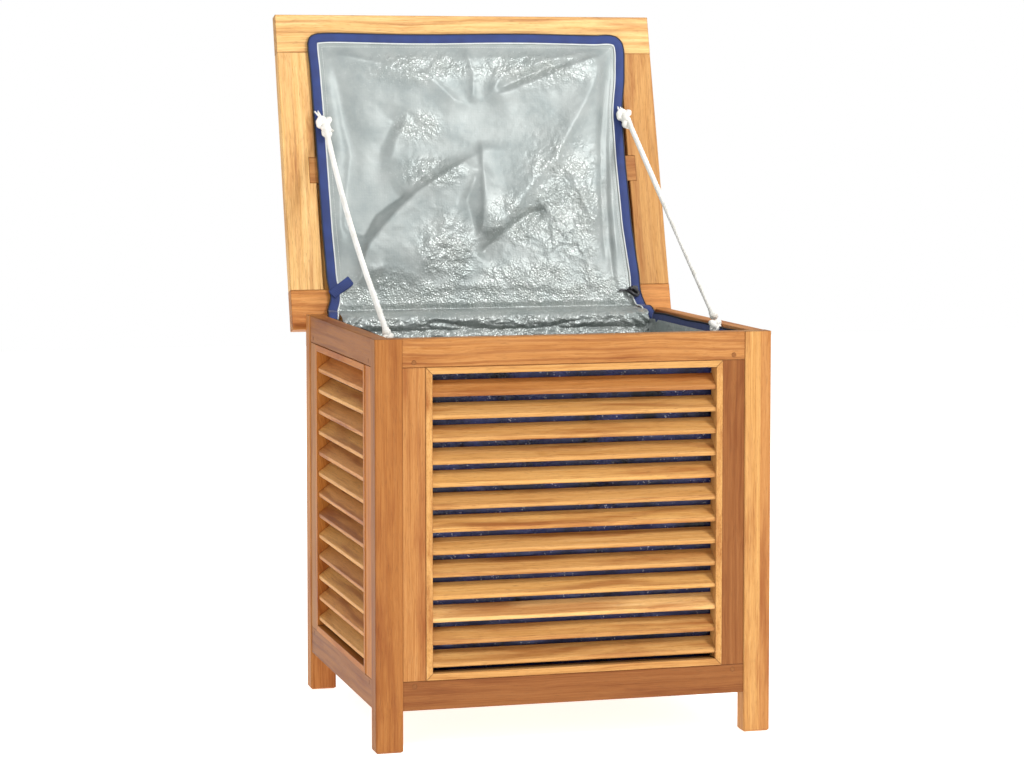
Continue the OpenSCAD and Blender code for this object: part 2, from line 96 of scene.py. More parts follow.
# ------------------------------------------------------------- mesh making
def piece(name, parts, body=None, mats=()):
    """One object from (points in mm, faces, material number) parts."""
    points, faces, which, base = [], [], [], 0
    for p, f, m in parts:
        p = np.asarray(p, float).reshape(-1, 3)
        points.append(p)
        faces += [tuple(int(i) + base for i in q) for q in f]
        which += list(m) if hasattr(m, "__len__") else [m] * len(f)
        base += len(p)
    mesh = bpy.data.meshes.new(name)
    mesh.from_pydata((np.concatenate(points) * MM).tolist(), [], faces)
    mesh.polygons.foreach_set("material_index", np.array(which, np.int32))
    mesh.polygons.foreach_set("use_smooth", np.ones(len(faces), bool))
    mesh.update()
    obj = bpy.data.objects.new(name, mesh)
    bpy.context.scene.collection.objects.link(obj)
    for m in mats:
        mesh.materials.append(m)
    if body:
        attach(obj, body)
    return obj


def unit(v):
    return v / np.maximum(np.linalg.norm(v, axis=-1, keepdims=True), 1e-9)


def shell(grid, thick, wrap=False, front=0, back=0, centre=False):
    """A closed thin cloth from a grid of points: rows first. wrap joins the last column to the
    first, and centre leaves the first row open for a hub in its middle."""
    n, m = grid.shape[:2]
    if wrap:
        dv = np.roll(grid, -1, 1) - np.roll(grid, 1, 1)
    else:
        dv = np.gradient(grid, axis=1)
    du = np.gradient(grid, axis=0)
    normal = unit(np.cross(dv, du))
    a = grid + normal * thick / 2
    b = grid - normal * thick / 2
    idx = np.arange(n * m).reshape(n, m)
    j2 = np.roll(np.arange(m), -1) if wrap else np.arange(1, m)
    j1 = np.arange(m) if wrap else np.arange(m - 1)
    q = np.stack([idx[:-1][:, j1], idx[:-1][:, j2], idx[1:][:, j2], idx[1:][:, j1]], -1).reshape(-1, 4)
    faces = [tuple(r) for r in q]
    which = [front] * len(faces)
    off = n * m
    faces += [tuple(r[::-1] + off) for r in q]
    which += [back] * len(q)
    rim = []
    for row, flip in ((0, True), (n - 1, False)):
        if centre and row == 0:
            continue
        for c1, c2 in zip(j1, j2):
            e = (idx[row, c1], idx[row, c2], idx[row, c2] + off, idx[row, c1] + off)
            rim.append(e[::-1] if not flip else e)
    if not wrap:
        for col, flip in ((0, False), (m - 1, True)):
            for r in range(n - 1):
                e = (idx[r, col], idx[r + 1, col], idx[r + 1, col] + off, idx[r, col] + off)
                rim.append(e[::-1] if not flip else e)
    faces += [tuple(r[::-1]) for r in rim]
    which += [front] * len(rim)
    pts = np.concatenate([a.reshape(-1, 3), b.reshape(-1, 3)])
    return pts, faces, which


def distance(p):
    """How far along the line each point is."""
    return np.concatenate([[0], np.cumsum(np.linalg.norm(np.diff(p, axis=0), axis=1))])


def ring_faces(n, m):
    """Quads that join n rings of m points."""
    return [(i * m + k, i * m + (k + 1) % m, (i + 1) * m + (k + 1) % m, (i + 1) * m + k)
            for i in range(n - 1) for k in range(m)]


def smooth_path(keys, step):
    """A smooth line through the key points, with a point every step mm. Extra columns are carried along."""
    k = np.asarray(keys, float)
    e = np.vstack([2 * k[0] - k[1], k, 2 * k[-1] - k[-2]])
    out = []
    for i in range(len(k) - 1):
        p0, p1, p2, p3 = e[i:i + 4]
        n = max(2, int(np.linalg.norm((p2 - p1)[:3]) / step * 3))
        t = np.linspace(0, 1, n, endpoint=False)[:, None]
        out.append(0.5 * ((2 * p1) + (p2 - p0) * t + (2 * p0 - 5 * p1 + 4 * p2 - p3) * t ** 2
                          + (3 * p1 - p0 - 3 * p2 + p3) * t ** 3))
    out = np.vstack(out + [k[-1:]])
    s = distance(out[:, :3])
    at = np.linspace(0, s[-1], max(3, int(s[-1] / step) + 1))
    return np.stack([np.interp(at, s, out[:, c]) for c in range(out.shape[1])], -1)


def tube(path, radius, sides=12, mat=0):
    """A closed tube along the path; radius is a number or a function of (distance, angle)."""
    p = np.asarray(path, float)
    s = distance(p)
    t = unit(np.gradient(p, axis=0))
    side = unit(np.cross(t[0], [0.3, 0.9, 0.2]))
    rings = []
    for i in range(len(p)):
        side = unit(side - t[i] * np.dot(side, t[i]))
        other = np.cross(t[i], side)
        a = np.linspace(0, 2 * math.pi, sides, endpoint=False)
        r = radius(s[i], a) if callable(radius) else radius
        r = np.broadcast_to(r, a.shape)[:, None]
        rings.append(p[i] + r * (np.cos(a)[:, None] * side + np.sin(a)[:, None] * other))
    v = np.concatenate(rings + [p[:1], p[-1:]])
    n = len(p)
    f = ring_faces(n, sides)
    for k in range(sides):
        k2 = (k + 1) % sides
        f.append((n * sides, k2, k))
        f.append((n * sides + 1, (n - 1) * sides + k, (n - 1) * sides + k2))
    return v, f, mat


def ribbon(path, out, width, thick, mat=0, puff=0.6):
    """A padded tape along a path of points; out is the way its face looks."""
    p = np.asarray(path, float)
    t = unit(np.gradient(p, axis=0))
    o = unit(np.asarray(out, float))
    side = unit(np.cross(t, o))
    o = np.cross(side, t)
    c = np.linspace(-1, 1, 9)
    w = np.broadcast_to(width, (len(p),))[:, None, None] / 2
    bulge = thick / 2 + puff * (1 - c ** 2)
    top = p[:, None] + side[:, None] * c[None, :, None] * w + o[:, None] * bulge[None, :, None]
    low = p[:, None] + side[:, None] * c[None, ::-1, None] * w - o[:, None] * thick / 2
    ring = np.concatenate([top, low], 1)
    n, m = ring.shape[:2]
    f = ring_faces(n, m)
    f.append(tuple(range(m - 1, -1, -1)))
    f.append(tuple((n - 1) * m + k for k in range(m)))
    return ring.reshape(-1, 3), f, mat


def step01(a, b, x):
    t = np.clip((np.asarray(x, float) - a) / (b - a), 0, 1)
    return t * t * (3 - 2 * t)


def cloth_noise(x, y, size, seed):
    """Soft random bumps from -1 to 1, size mm apart."""
    rng = np.random.RandomState(seed)
    g = rng.uniform(0, 2 * math.pi, (64, 64))
    x, y = np.asarray(x, float) / size + 1000, np.asarray(y, float) / size + 1000
    xi, yi = np.floor(x).astype(int), np.floor(y).astype(int)
    fx, fy = x - xi, y - yi
    sx, sy = (f * f * f * (f * (f * 6 - 15) + 10) for f in (fx, fy))

    def corner(i, j):
        a = g[(xi + i) % 64, (yi + j) % 64]
        return np.cos(a) * (fx - i) + np.sin(a) * (fy - j)
    low = corner(0, 0) * (1 - sx) + corner(1, 0) * sx
    high = corner(0, 1) * (1 - sx) + corner(1, 1) * sx
    return (low * (1 - sy) + high * sy) * 1.5


def crumple(x, y, size, seed):
    """Sharp-edged creases like those of a stiff film, -1 to 1."""
    a = 1 - 2.4 * np.abs(cloth_noise(x, y, size, seed))
    b = 1 - 2.4 * np.abs(cloth_noise(x + 0.4 * y, y - 0.5 * x, size * 0.6, seed + 1))
    return 0.6 * a + 0.4 * b


def fold(x, u, line, height, left, right_, taper=0.15):
    """One crease along a line of (x, u) points; left and right_ are how far it reaches on each side."""
    q = np.asarray(line, float)
    seg = np.linalg.norm(np.diff(q, axis=0), axis=1)
    total, run = seg.sum(), 0
    best = np.full(x.shape, 1e9)
    along = np.zeros(x.shape)
    for i in range(len(q) - 1):
        d = (q[i + 1] - q[i]) / seg[i]
        px, py = x - q[i][0], u - q[i][1]
        t = np.clip(px * d[0] + py * d[1], 0, seg[i])
        dx, dy = px - t * d[0], py - t * d[1]
        dist = np.hypot(dx, dy)
        sign = np.where(d[0] * py - d[1] * px >= 0, 1, -1)
        near = dist < np.abs(best)
        best = np.where(near, dist * sign, best)
        along = np.where(near, (run + t) / total, along)
        run += seg[i]
    width = np.where(best > 0, left, right_)
    fall = np.exp(-(np.sqrt((best / width) ** 2 + 0.03) - 0.17))
    return height * fall * step01(0, taper, along) * step01(0, taper, 1 - along)


# ---------------------------------------------------------------- finishes
def srgb(code):
    """Linear colour from an sRGB hex code."""
    c = [int(code[i:i + 2], 16) / 255 for i in (1, 3, 5)]
    return (*[v / 12.92 if v <= 0.04045 else ((v + 0.055) / 1.055) ** 2.4 for v in c], 1)


def finish(name):
    mat = bpy.data.materials.new(name)
    mat.use_nodes = True
    tree = mat.node_tree
    tree.nodes.clear()
    return mat, tree


def add(tree, kind, links=(), stops=(), values=(), **settings):
    """Adds one node: its settings, its ramp's stops, its fixed inputs and its links."""
    node = tree.nodes.new("ShaderNode" + kind)
    for key, value in settings.items():
        setattr(node, key, value)
    if stops:
        ramp = node.color_ramp
        while len(ramp.elements) < len(stops):
            ramp.elements.new(0.5)
        for element, (place, colour) in zip(ramp.elements, stops):
            element.position = place
            element.color = srgb(colour) if isinstance(colour, str) else (colour, colour, colour, 1)
    for key, value in dict(values).items():
        node.inputs[key].default_value = value
    for key, source in dict(links).items():
        tree.links.new(source, node.inputs[key])
    return node


def teak(name, along, boards, step=None, seed=0, figure=0.5, rough=0.5, mitred=None):
    """Sawn and oiled teak. The oil leaves a low sheen over straight golden streaks, thin dark
    pores and, on flat-sawn boards, wide arched figure. along is the way the grain runs; boards are
    the colours of the boards in the piece, and step is (axis, start, pitch) where there are several."""
    mat, t = finish(name)
    along = Vector(along).normalized()
    flat = along.cross(Vector((0.12, 1, 0.3)) if abs(along.y) < 0.5 else Vector((1, 0.1, 0.2))).normalized()
    deep = along.cross(flat)
    where = add(t, "TexCoord")
    place = where.outputs["Object"]
    a, b, c = (add(t, "VectorMath", {0: place}, values={1: v}, operation="DOT_PRODUCT").outputs["Value"]
               for v in (along, flat, deep))
    tone = None
    if step:
        axis, start, pitch = step
        run = add(t, "VectorMath", {0: place}, values={1: Vector(axis)}, operation="DOT_PRODUCT")
        count = add(t, "Math", {0: run.outputs["Value"]}, values={1: -start}, operation="ADD")
        count = add(t, "Math", {0: count.outputs[0]}, values={1: pitch}, operation="DIVIDE")
        count = add(t, "Math", {0: count.outputs[0]}, operation="FLOOR")
        jump = add(t, "Math", {0: count.outputs[0]}, values={1: 0.731}, operation="MULTIPLY")
        share = add(t, "Math", {0: count.outputs[0]}, values={1: 0.5}, operation="ADD")
        share = add(t, "Math", {0: share.outputs[0]}, values={1: len(boards)}, operation="DIVIDE")
        tone = add(t, "ValToRGB", {"Fac": share.outputs[0]},
                   stops=[(i / len(boards), h) for i, h in enumerate(boards)])
        tone.color_ramp.interpolation = "CONSTANT"
        a = add(t, "Math", {0: a, 1: jump.outputs[0]}, operation="ADD").outputs[0]
    grain = add(t, "CombineXYZ", {0: a, 1: b, 2: c})
    if mitred:
        # A frame of four mitred lengths: the upright ones have upright grain.
        across, mid, half, mid_z, half_z = mitred
        to_side = (Vector(across), -mid, half)
        to_end = (Vector((0, 0, 1)), -mid_z, half_z)
        reach = []
        for way, offset, limit in (to_side, to_end):
            dist = add(t, "VectorMath", {0: place}, values={1: way}, operation="DOT_PRODUCT")
            dist = add(t, "Math", {0: dist.outputs["Value"]}, values={1: offset}, operation="ADD")
            dist = add(t, "Math", {0: dist.outputs[0]}, operation="ABSOLUTE")
            reach.append(add(t, "Math", {1: dist.outputs[0]}, values={0: limit}, operation="SUBTRACT"))
        gap = add(t, "Math", {0: reach[1].outputs[0], 1: reach[0].outputs[0]}, operation="SUBTRACT")
        upright = add(t, "Math", {0: gap.outputs[0]}, values={1: 0.0}, operation="GREATER_THAN")
        height = add(t, "VectorMath", {0: place}, values={1: (0, 0, 1)}, operation="DOT_PRODUCT")
        turned = add(t, "CombineXYZ", {0: height.outputs["Value"], 1: a, 2: c})
        grain = add(t, "MixRGB", {0: upright.outputs[0], 1: grain.outputs[0], 2: turned.outputs[0]})
        gap = add(t, "Math", {0: gap.outputs[0]}, operation="ABSOLUTE")
        near = add(t, "Math", {0: gap.outputs[0]}, values={1: 400.0}, operation="MULTIPLY")
        seam = add(t, "ValToRGB", {"Fac": near.outputs[0]}, stops=[(0.1, 0.75), (0.45, 0.0)])
    grain = add(t, "VectorMath", {0: grain.outputs[0]},
                values={1: (seed * 0.37, seed * 0.191, seed * 0.113)}, operation="ADD").outputs[0]
    # Slow waver of the grain, about 20 mm over a hand's length.
    waver = add(t, "TexNoise", {"Vector": grain}, values={"Scale": 5, "Detail": 2})
    sway = add(t, "VectorMath", {0: waver.outputs["Color"]}, values={1: (0, 0.012, 0.012)}, operation="MULTIPLY")
    bent = add(t, "VectorMath", {0: grain, 1: sway.outputs[0]}, operation="ADD").outputs[0]
    # Streaks 1 to 3 mm wide and a hand's length long, over broader ones.
    fine = add(t, "VectorMath", {0: bent}, values={1: (6, 900, 900)}, operation="MULTIPLY")
    streak = add(t, "TexNoise", {"Vector": fine.outputs[0]}, values={"Scale": 1, "Detail": 3, "Roughness": 0.7})
    broad = add(t, "VectorMath", {0: bent}, values={1: (3, 170, 170)}, operation="MULTIPLY")
    broad = add(t, "TexNoise", {"Vector": broad.outputs[0]}, values={"Scale": 1, "Detail": 3, "Roughness": 0.6})
    # Growth rings cut flat: thin dark lines 10 to 15 mm apart that arch along the board.
    rings = add(t, "VectorMath", {0: bent}, values={1: (5.0, 64, 64)}, operation="MULTIPLY")
    arch = add(t, "TexWave", {"Vector": rings.outputs[0]}, wave_type="BANDS", bands_direction="Y",
               values={"Scale": 0.34, "Distortion": 9, "Detail": 2, "Detail Scale": 0.5})
    arch = add(t, "ValToRGB", {"Fac": arch.outputs["Fac"]}, stops=[(0.72, 0.0), (0.97, 1.0)])
    # Pores: dark dashes, drawn 0.6 mm wide where real ones are 0.2, so that they show.
    dash = add(t, "VectorMath", {0: bent}, values={1: (70, 1300, 1300)}, operation="MULTIPLY")
    pore = add(t, "TexNoise", {"Vector": dash.outputs[0]}, values={"Scale": 1, "Detail": 2, "Roughness": 0.5})
    pore = add(t, "ValToRGB", {"Fac": pore.outputs[0]}, stops=[(0.30, 1.0), (0.42, 0.0)])
    # Brown stain of heartwood: patches a hand long and a finger wide.
    patch = add(t, "VectorMath", {0: bent}, values={1: (4.5, 38, 38)}, operation="MULTIPLY")
    patch = add(t, "TexNoise", {"Vector": patch.outputs[0]}, values={"Scale": 1, "Detail": 4, "Roughness": 0.6})
    heart = add(t, "ValToRGB", {"Fac": patch.outputs[0]}, stops=[(0.5, 0.0), (0.72, 1.0)])
    mix = add(t, "MixRGB", {1: streak.outputs[0], 2: broad.outputs[0]}, values={0: 0.4})
    shade = add(t, "ValToRGB", {"Fac": mix.outputs[0]},
                stops=[(0.32, "#c9ab82"), (0.45, "#e8d8c0"), (0.57, "#f6eee2"), (0.7, "#ffffff")])
    base = add(t, "MixRGB", {2: shade.outputs[0]}, blend_type="MULTIPLY", values={0: 1.0, 1: srgb(boards[0])})
    if tone:
        t.links.new(tone.outputs[0], base.inputs[1])
    stain = add(t, "Math", {0: heart.outputs[0]}, values={1: 0.7}, operation="MULTIPLY")
    base = add(t, "MixRGB", {0: stain.outputs[0], 1: base.outputs[0]}, blend_type="MULTIPLY",
               values={2: srgb("#b8835a")})
    some = add(t, "ValToRGB", {"Fac": waver.outputs["Fac"]}, stops=[(0.42, 0.15), (0.62, 1.0)])
    line = add(t, "Math", {0: arch.outputs[0], 1: some.outputs[0]}, operation="MULTIPLY")
    line = add(t, "Math", {0: line.outputs[0]}, values={1: figure * 0.62}, operation="MULTIPLY")
    base = add(t, "MixRGB", {0: line.outputs[0], 1: base.outputs[0]}, blend_type="MULTIPLY",
               values={2: srgb("#a8744a")})
    poreshade = add(t, "Math", {0: pore.outputs[0]}, values={1: 0.42}, operation="MULTIPLY")
    colour = add(t, "MixRGB", {0: poreshade.outputs[0], 1: base.outputs[0]}, values={2: srgb("#6d4522")})
    # Arrises are eased by 1.4 mm, and painted shade darkens the colour along them, standing in for the shadowed gaps
    # where boards meet.
    eased = add(t, "Bevel", values={"Radius": 0.0014}, samples=6)
    flatness = add(t, "NewGeometry")
    turn = add(t, "VectorMath", {0: eased.outputs[0], 1: flatness.outputs["True Normal"]}, operation="DOT_PRODUCT")
    painted_edge_shade = add(t, "ValToRGB", {"Fac": turn.outputs["Value"]}, stops=[(0.80, 0.85), (0.995, 0.0)])
    colour = add(t, "MixRGB", {0: painted_edge_shade.outputs[0], 1: colour.outputs[0]}, values={2: srgb("#6f4220")})
    if mitred:
        colour = add(t, "MixRGB", {0: seam.outputs[0], 1: colour.outputs[0]}, values={2: srgb("#5f3a1c")})
    # Sawn ends drink the oil and go darker.
    facing = add(t, "VectorMath", {0: where.outputs["Normal"]}, values={1: along}, operation="DOT_PRODUCT")
    facing = add(t, "Math", {0: facing.outputs["Value"]}, operation="ABSOLUTE")
    end = add(t, "ValToRGB", {"Fac": facing.outputs[0]}, stops=[(0.75, 0.0), (0.9, 0.0 if mitred else 0.4)])
    colour = add(t, "MixRGB", {0: end.outputs[0], 1: colour.outputs[0]}, values={2: srgb("#8a5a2f")})
    gloss = add(t, "ValToRGB", {"Fac": streak.outputs[0]}, stops=[(0.3, rough - 0.06), (0.7, rough + 0.08)])
    relief = add(t, "Math", {0: streak.outputs[0], 1: pore.outputs[0]}, operation="SUBTRACT")
    bump = add(t, "Bump", {"Height": relief.outputs[0], "Normal": eased.outputs[0]},
               values={"Strength": 0.25, "Distance": 0.0004})
    skin = add(t, "BsdfPrincipled", {"Base Color": colour.outputs[0], "Roughness": gloss.outputs[0],
                                     "Normal": bump.outputs[0]}, values={"IOR": 1.5, "Specular IOR Level": 0.2})
    add(t, "OutputMaterial", {"Surface": skin.outputs[0]})
    return mat


def film_cloth(name, smooth_hex, crushed_highlight_hex, painted_glint_hex, metal, rough, painted_glint_cut=0.62, cloud_hex="#e3e7e8"):
    """Woven plastic cloth with an aluminised film on one side. The film is smooth and softly mirror-like where it lies
    flat, and breaks into small facets where it has been crushed.
    There its colour is painted lighter, a painted highlight, and white flecks are painted on as glints of light on the
    facets."""
    mat, t = finish(name)
    place = add(t, "TexCoord").outputs["Object"]
    crushed = add(t, "Attribute", attribute_name="crushed").outputs["Fac"]
    # Facets of the crushed film, 3 to 9 mm across.
    big = add(t, "TexVoronoi", {"Vector": place}, values={"Scale": 120, "Randomness": 1}, distance="EUCLIDEAN")
    small = add(t, "TexVoronoi", {"Vector": place}, values={"Scale": 330, "Randomness": 1})
    facets = add(t, "Math", {0: big.outputs["Distance"], 1: small.outputs["Distance"]}, operation="ADD")
    # Weave of flat tapes, drawn 2 mm wide so that it just shows.
    warp = add(t, "TexWave", {"Vector": place}, wave_type="BANDS", bands_direction="X", values={"Scale": 80})
    weft = add(t, "TexWave", {"Vector": place}, wave_type="BANDS", bands_direction="Z", values={"Scale": 80})
    weave = add(t, "Math", {0: warp.outputs["Fac"], 1: weft.outputs["Fac"]}, operation="MULTIPLY")
    drift = add(t, "TexNoise", {"Vector": place}, values={"Scale": 22, "Detail": 4, "Roughness": 0.6})
    # Painted highlight: crushed film takes a lighter colour.
    base = add(t, "MixRGB", {0: crushed}, values={1: srgb(smooth_hex), 2: srgb(crushed_highlight_hex)})
    # Painted glints: white flecks on the facets of the crushed film.
    painted_glints = add(t, "ValToRGB", {"Fac": facets.outputs[0]}, stops=[(painted_glint_cut - 0.14, 1.0), (painted_glint_cut, 0.0)])
    amount = add(t, "Math", {0: painted_glints.outputs[0], 1: crushed}, operation="MULTIPLY")
    amount = add(t, "Math", {0: amount.outputs[0]}, values={1: 0.75}, operation="MULTIPLY")
    colour = add(t, "MixRGB", {0: amount.outputs[0], 1: base.outputs[0]}, values={2: srgb(painted_glint_hex)})
    cloud = add(t, "ValToRGB", {"Fac": drift.outputs[0]}, stops=[(0.34, cloud_hex), (0.62, "#ffffff")])
    colour = add(t, "MixRGB", {1: colour.outputs[0], 2: cloud.outputs[0]}, blend_type="MULTIPLY", values={0: 1.0})
    lift = add(t, "Math", {0: facets.outputs[0], 1: crushed}, operation="MULTIPLY")
    faint = add(t, "Math", {0: weave.outputs[0]}, values={1: 0.025}, operation="MULTIPLY")
    height = add(t, "Math", {0: lift.outputs[0], 1: faint.outputs[0]}, operation="ADD")
    bump = add(t, "Bump", {"Height": height.outputs[0]}, values={"Strength": 0.7, "Distance": 0.0016})
    gloss = add(t, "ValToRGB", {"Fac": crushed}, stops=[(0.05, rough + 0.2), (0.6, rough)])
    skin = add(t, "BsdfPrincipled", {"Base Color": colour.outputs[0], "Normal": bump.outputs[0],
                                     "Roughness": gloss.outputs[0]}, values={"Metallic": metal, "IOR": 1.5})
    add(t, "OutputMaterial", {"Surface": skin.outputs[0]})
    return mat


def woven_tape(name, base_hex, dark_hex, rib=900):
    """Dyed polyester zip tape, herringbone woven: matt, with a soft bloom at grazing angles."""
    mat, t = finish(name)
    place = add(t, "TexCoord").outputs["Object"]
    one = add(t, "TexWave", {"Vector": place}, wave_type="BANDS", bands_direction="DIAGONAL",
              values={"Scale": rib / 6, "Distortion": 0.6})
    haze = add(t, "TexNoise", {"Vector": place}, values={"Scale": 60, "Detail": 4})
    mix = add(t, "Math", {0: one.outputs["Fac"], 1: haze.outputs[0]}, operation="MULTIPLY")
    colour = add(t, "ValToRGB", {"Fac": mix.outputs[0]}, stops=[(0.1, dark_hex), (0.6, base_hex)])
    bump = add(t, "Bump", {"Height": one.outputs["Fac"]}, values={"Strength": 0.3, "Distance": 0.0004})
    skin = add(t, "BsdfPrincipled", {"Base Color": colour.outputs[0], "Normal": bump.outputs[0]},
               values={"Roughness": 0.72, "Sheen Weight": 0.15, "Sheen Roughness": 0.5})
    add(t, "OutputMaterial", {"Surface": skin.outputs[0]})
    return mat


def rope_fibre(name):
    """White spun polypropylene: soft and matt, with a fine bump of loose fibres; the real rope's slight see-through is
    not drawn.
    """
    mat, t = finish(name)
    place = add(t, "TexCoord").outputs["Object"]
    hair = add(t, "TexNoise", {"Vector": place}, values={"Scale": 900, "Detail": 3, "Roughness": 0.7})
    dirt = add(t, "TexNoise", {"Vector": place}, values={"Scale": 40, "Detail": 2})
    mix = add(t, "Math", {0: hair.outputs[0], 1: dirt.outputs[0]}, operation="MULTIPLY")
    colour = add(t, "ValToRGB", {"Fac": mix.outputs[0]}, stops=[(0.12, "#d9d6cc"), (0.32, "#f6f4ee")])
    bump = add(t, "Bump", {"Height": hair.outputs[0]}, values={"Strength": 0.5, "Distance": 0.0005})
    skin = add(t, "BsdfPrincipled", {"Base Color": colour.outputs[0], "Normal": bump.outputs[0]},
               values={"Roughness": 0.75, "Sheen Weight": 0.3})
    add(t, "OutputMaterial", {"Surface": skin.outputs[0]})
    return mat


def satin_steel(name):
    """Stainless steel, satin brushed: long fine scratches stretch its highlights."""
    mat, t = finish(name)
    place = add(t, "TexCoord").outputs["Object"]
    line = add(t, "VectorMath", {0: place}, values={1: (60, 2500, 2500)}, operation="MULTIPLY")
    scratch = add(t, "TexNoise", {"Vector": line.outputs[0]}, values={"Scale": 1, "Detail": 3})
    colour = add(t, "ValToRGB", {"Fac": scratch.outputs[0]}, stops=[(0.3, "#b4b5b3"), (0.7, "#cfd0ce")])
    gloss = add(t, "ValToRGB", {"Fac": scratch.outputs[0]}, stops=[(0.3, 0.28), (0.7, 0.42)])
    bump = add(t, "Bump", {"Height": scratch.outputs[0]}, values={"Strength": 0.12, "Distance": 0.0002})
    skin = add(t, "BsdfPrincipled", {"Base Color": colour.outputs[0], "Roughness": gloss.outputs[0],
                                     "Normal": bump.outputs[0]}, values={"Metallic": 1.0})
    add(t, "OutputMaterial", {"Surface": skin.outputs[0]})
    return mat


def moulded_nylon(name, base_hex):
    """Black moulded nylon: a fine eggshell skin with soft, wide highlights."""
    mat, t = finish(name)
    place = add(t, "TexCoord").outputs["Object"]
    skin_noise = add(t, "TexNoise", {"Vector": place}, values={"Scale": 1500, "Detail": 2})
    gloss = add(t, "ValToRGB", {"Fac": skin_noise.outputs[0]}, stops=[(0.3, 0.34), (0.7, 0.5)])
    shade = add(t, "ValToRGB", {"Fac": skin_noise.outputs[0]}, stops=[(0.3, "#0c0c10"), (0.7, base_hex)])
    bump = add(t, "Bump", {"Height": skin_noise.outputs[0]}, values={"Strength": 0.15, "Distance": 0.0002})
    skin = add(t, "BsdfPrincipled", {"Base Color": shade.outputs[0], "Roughness": gloss.outputs[0],
                                     "Normal": bump.outputs[0]}, values={"IOR": 1.53})
    add(t, "OutputMaterial", {"Surface": skin.outputs[0]})
    return mat


# Each film's third colour is its crushed colour with a painted highlight, and its fourth is the colour of its painted
# glints.
silver = film_cloth("aluminised_woven_film", "#a3a9a7", "#aaafab", "#ffffff", 0.36, 0.34)
navy_cloth = film_cloth("navy_woven_cloth", "#272d5e", "#39427e", "#f4f6ff", 0.0, 0.3, cloud_hex="#34343c")
navy = woven_tape("navy_zip_tape", "#2c4488", "#1b2a5c")
piping = woven_tape("white_piping", "#e9ebe8", "#c9cdca")
black = moulded_nylon("black_moulded_nylon", "#1b1b22")
white_rope = rope_fibre("white_spun_rope")
steel = satin_steel("satin_stainless_steel")

# ------------------------------------------------------------------- ropes
ROPE = 8.0
TURN = 26
LEFT_RUN = [(-233, 228.5, 833.5), (-234.5, 144, 768), (-236.5, 45, 702), (-239, -55, 646),
            (-242, -154, 598), (-247, -246, 560)]
RIGHT_RUN = [(245.5, 231, 844.5), (245.7, 158, 793.5), (246, 68, 731), (246.3, -22, 669.5),
             (246.6, -102, 615), (247, -172, 568)]


def laid_rope(flare):
    """Three strands laid round each other, TURN mm to a turn; the last few mm open out."""
    def radius(s, a):
        lobes = np.abs(np.cos(1.5 * (a - s * 2 * math.pi / TURN)))
        return (ROPE / 2) * (0.86 + 0.17 * lobes) * (1 + 0.55 * step01(flare - 22, flare, s))
    return radius


def rope_piece(name, run):
    path = smooth_path(run, 2.0)
    length = np.linalg.norm(np.diff(path, axis=0), axis=1).sum()
    obj = piece(name, [tube(path, laid_rope(length), 18)], mats=[white_rope])
    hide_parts(name.replace("stay", "rope"))
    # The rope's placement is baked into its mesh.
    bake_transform(obj)


def knot_parts(size, strand, seed):
    """An overhand knot pulled tight, as one closed trefoil of rope."""
    t = np.linspace(0, 2 * math.pi, 90)
    k = np.stack([np.sin(t) + 2 * np.sin(2 * t), np.cos(t) - 2 * np.cos(2 * t), -np.sin(3 * t) * 1.4], -1)
    k *= (size - strand) / 3.0
    rng = np.random.RandomState(seed)
    k += 0.35 * rng.uniform(-1, 1, 3)

    def radius(s, a):
        return strand * (0.9 + 0.14 * np.abs(np.cos(1.5 * (a - s * 0.35))))
    return k, radius


def placed_knot(name, node, at, toward, size, strand, seed, tails, body, second=None):
    """A knot round the rope's end, with frayed strands that stand off it."""
    k, radius = knot_parts(size, strand, seed)
    z = unit(np.asarray(toward, float))
    x = unit(np.cross(z, [0.2, 1, 0.1]))
    y = np.cross(z, x)
    k = at + k[:, :1] * x + k[:, 1:2] * y + k[:, 2:] * z
    parts = [tube(k, radius, 12), tube(np.array([at - z * size * 0.4, at, at + z * size * 0.4]), strand * 1.2, 12)]
    if second is not None:
        turn = unit(np.asarray(second, float))
        low, _ = knot_parts(size * 0.86, strand, seed + 1)
        parts.append(tube(at + turn * size * 1.15 + low[:, :1] * y + low[:, 1:2] * z + low[:, 2:] * x, radius, 12))
    rng = np.random.RandomState(seed + 7)
    for way, reach, count in tails:
        way = unit(np.asarray(way, float))
        for i in range(count):
            spread = rng.uniform(-1, 1, 3)
            a = at + spread * 2.0
            b = at + way * reach * 0.5 + spread * 2.6
            c = at + way * reach * rng.uniform(0.7, 1.0) + spread * 3.6
            parts.append(tube(smooth_path([a, (a + b) / 2, b, c], 2.0), 0.85, 6))
    obj = piece(name, parts, body=body, mats=[white_rope])
    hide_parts(node)
    return obj


def centre_of(node):
    lo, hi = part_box(node)
    return np.array((lo + hi) / 2) * 1000


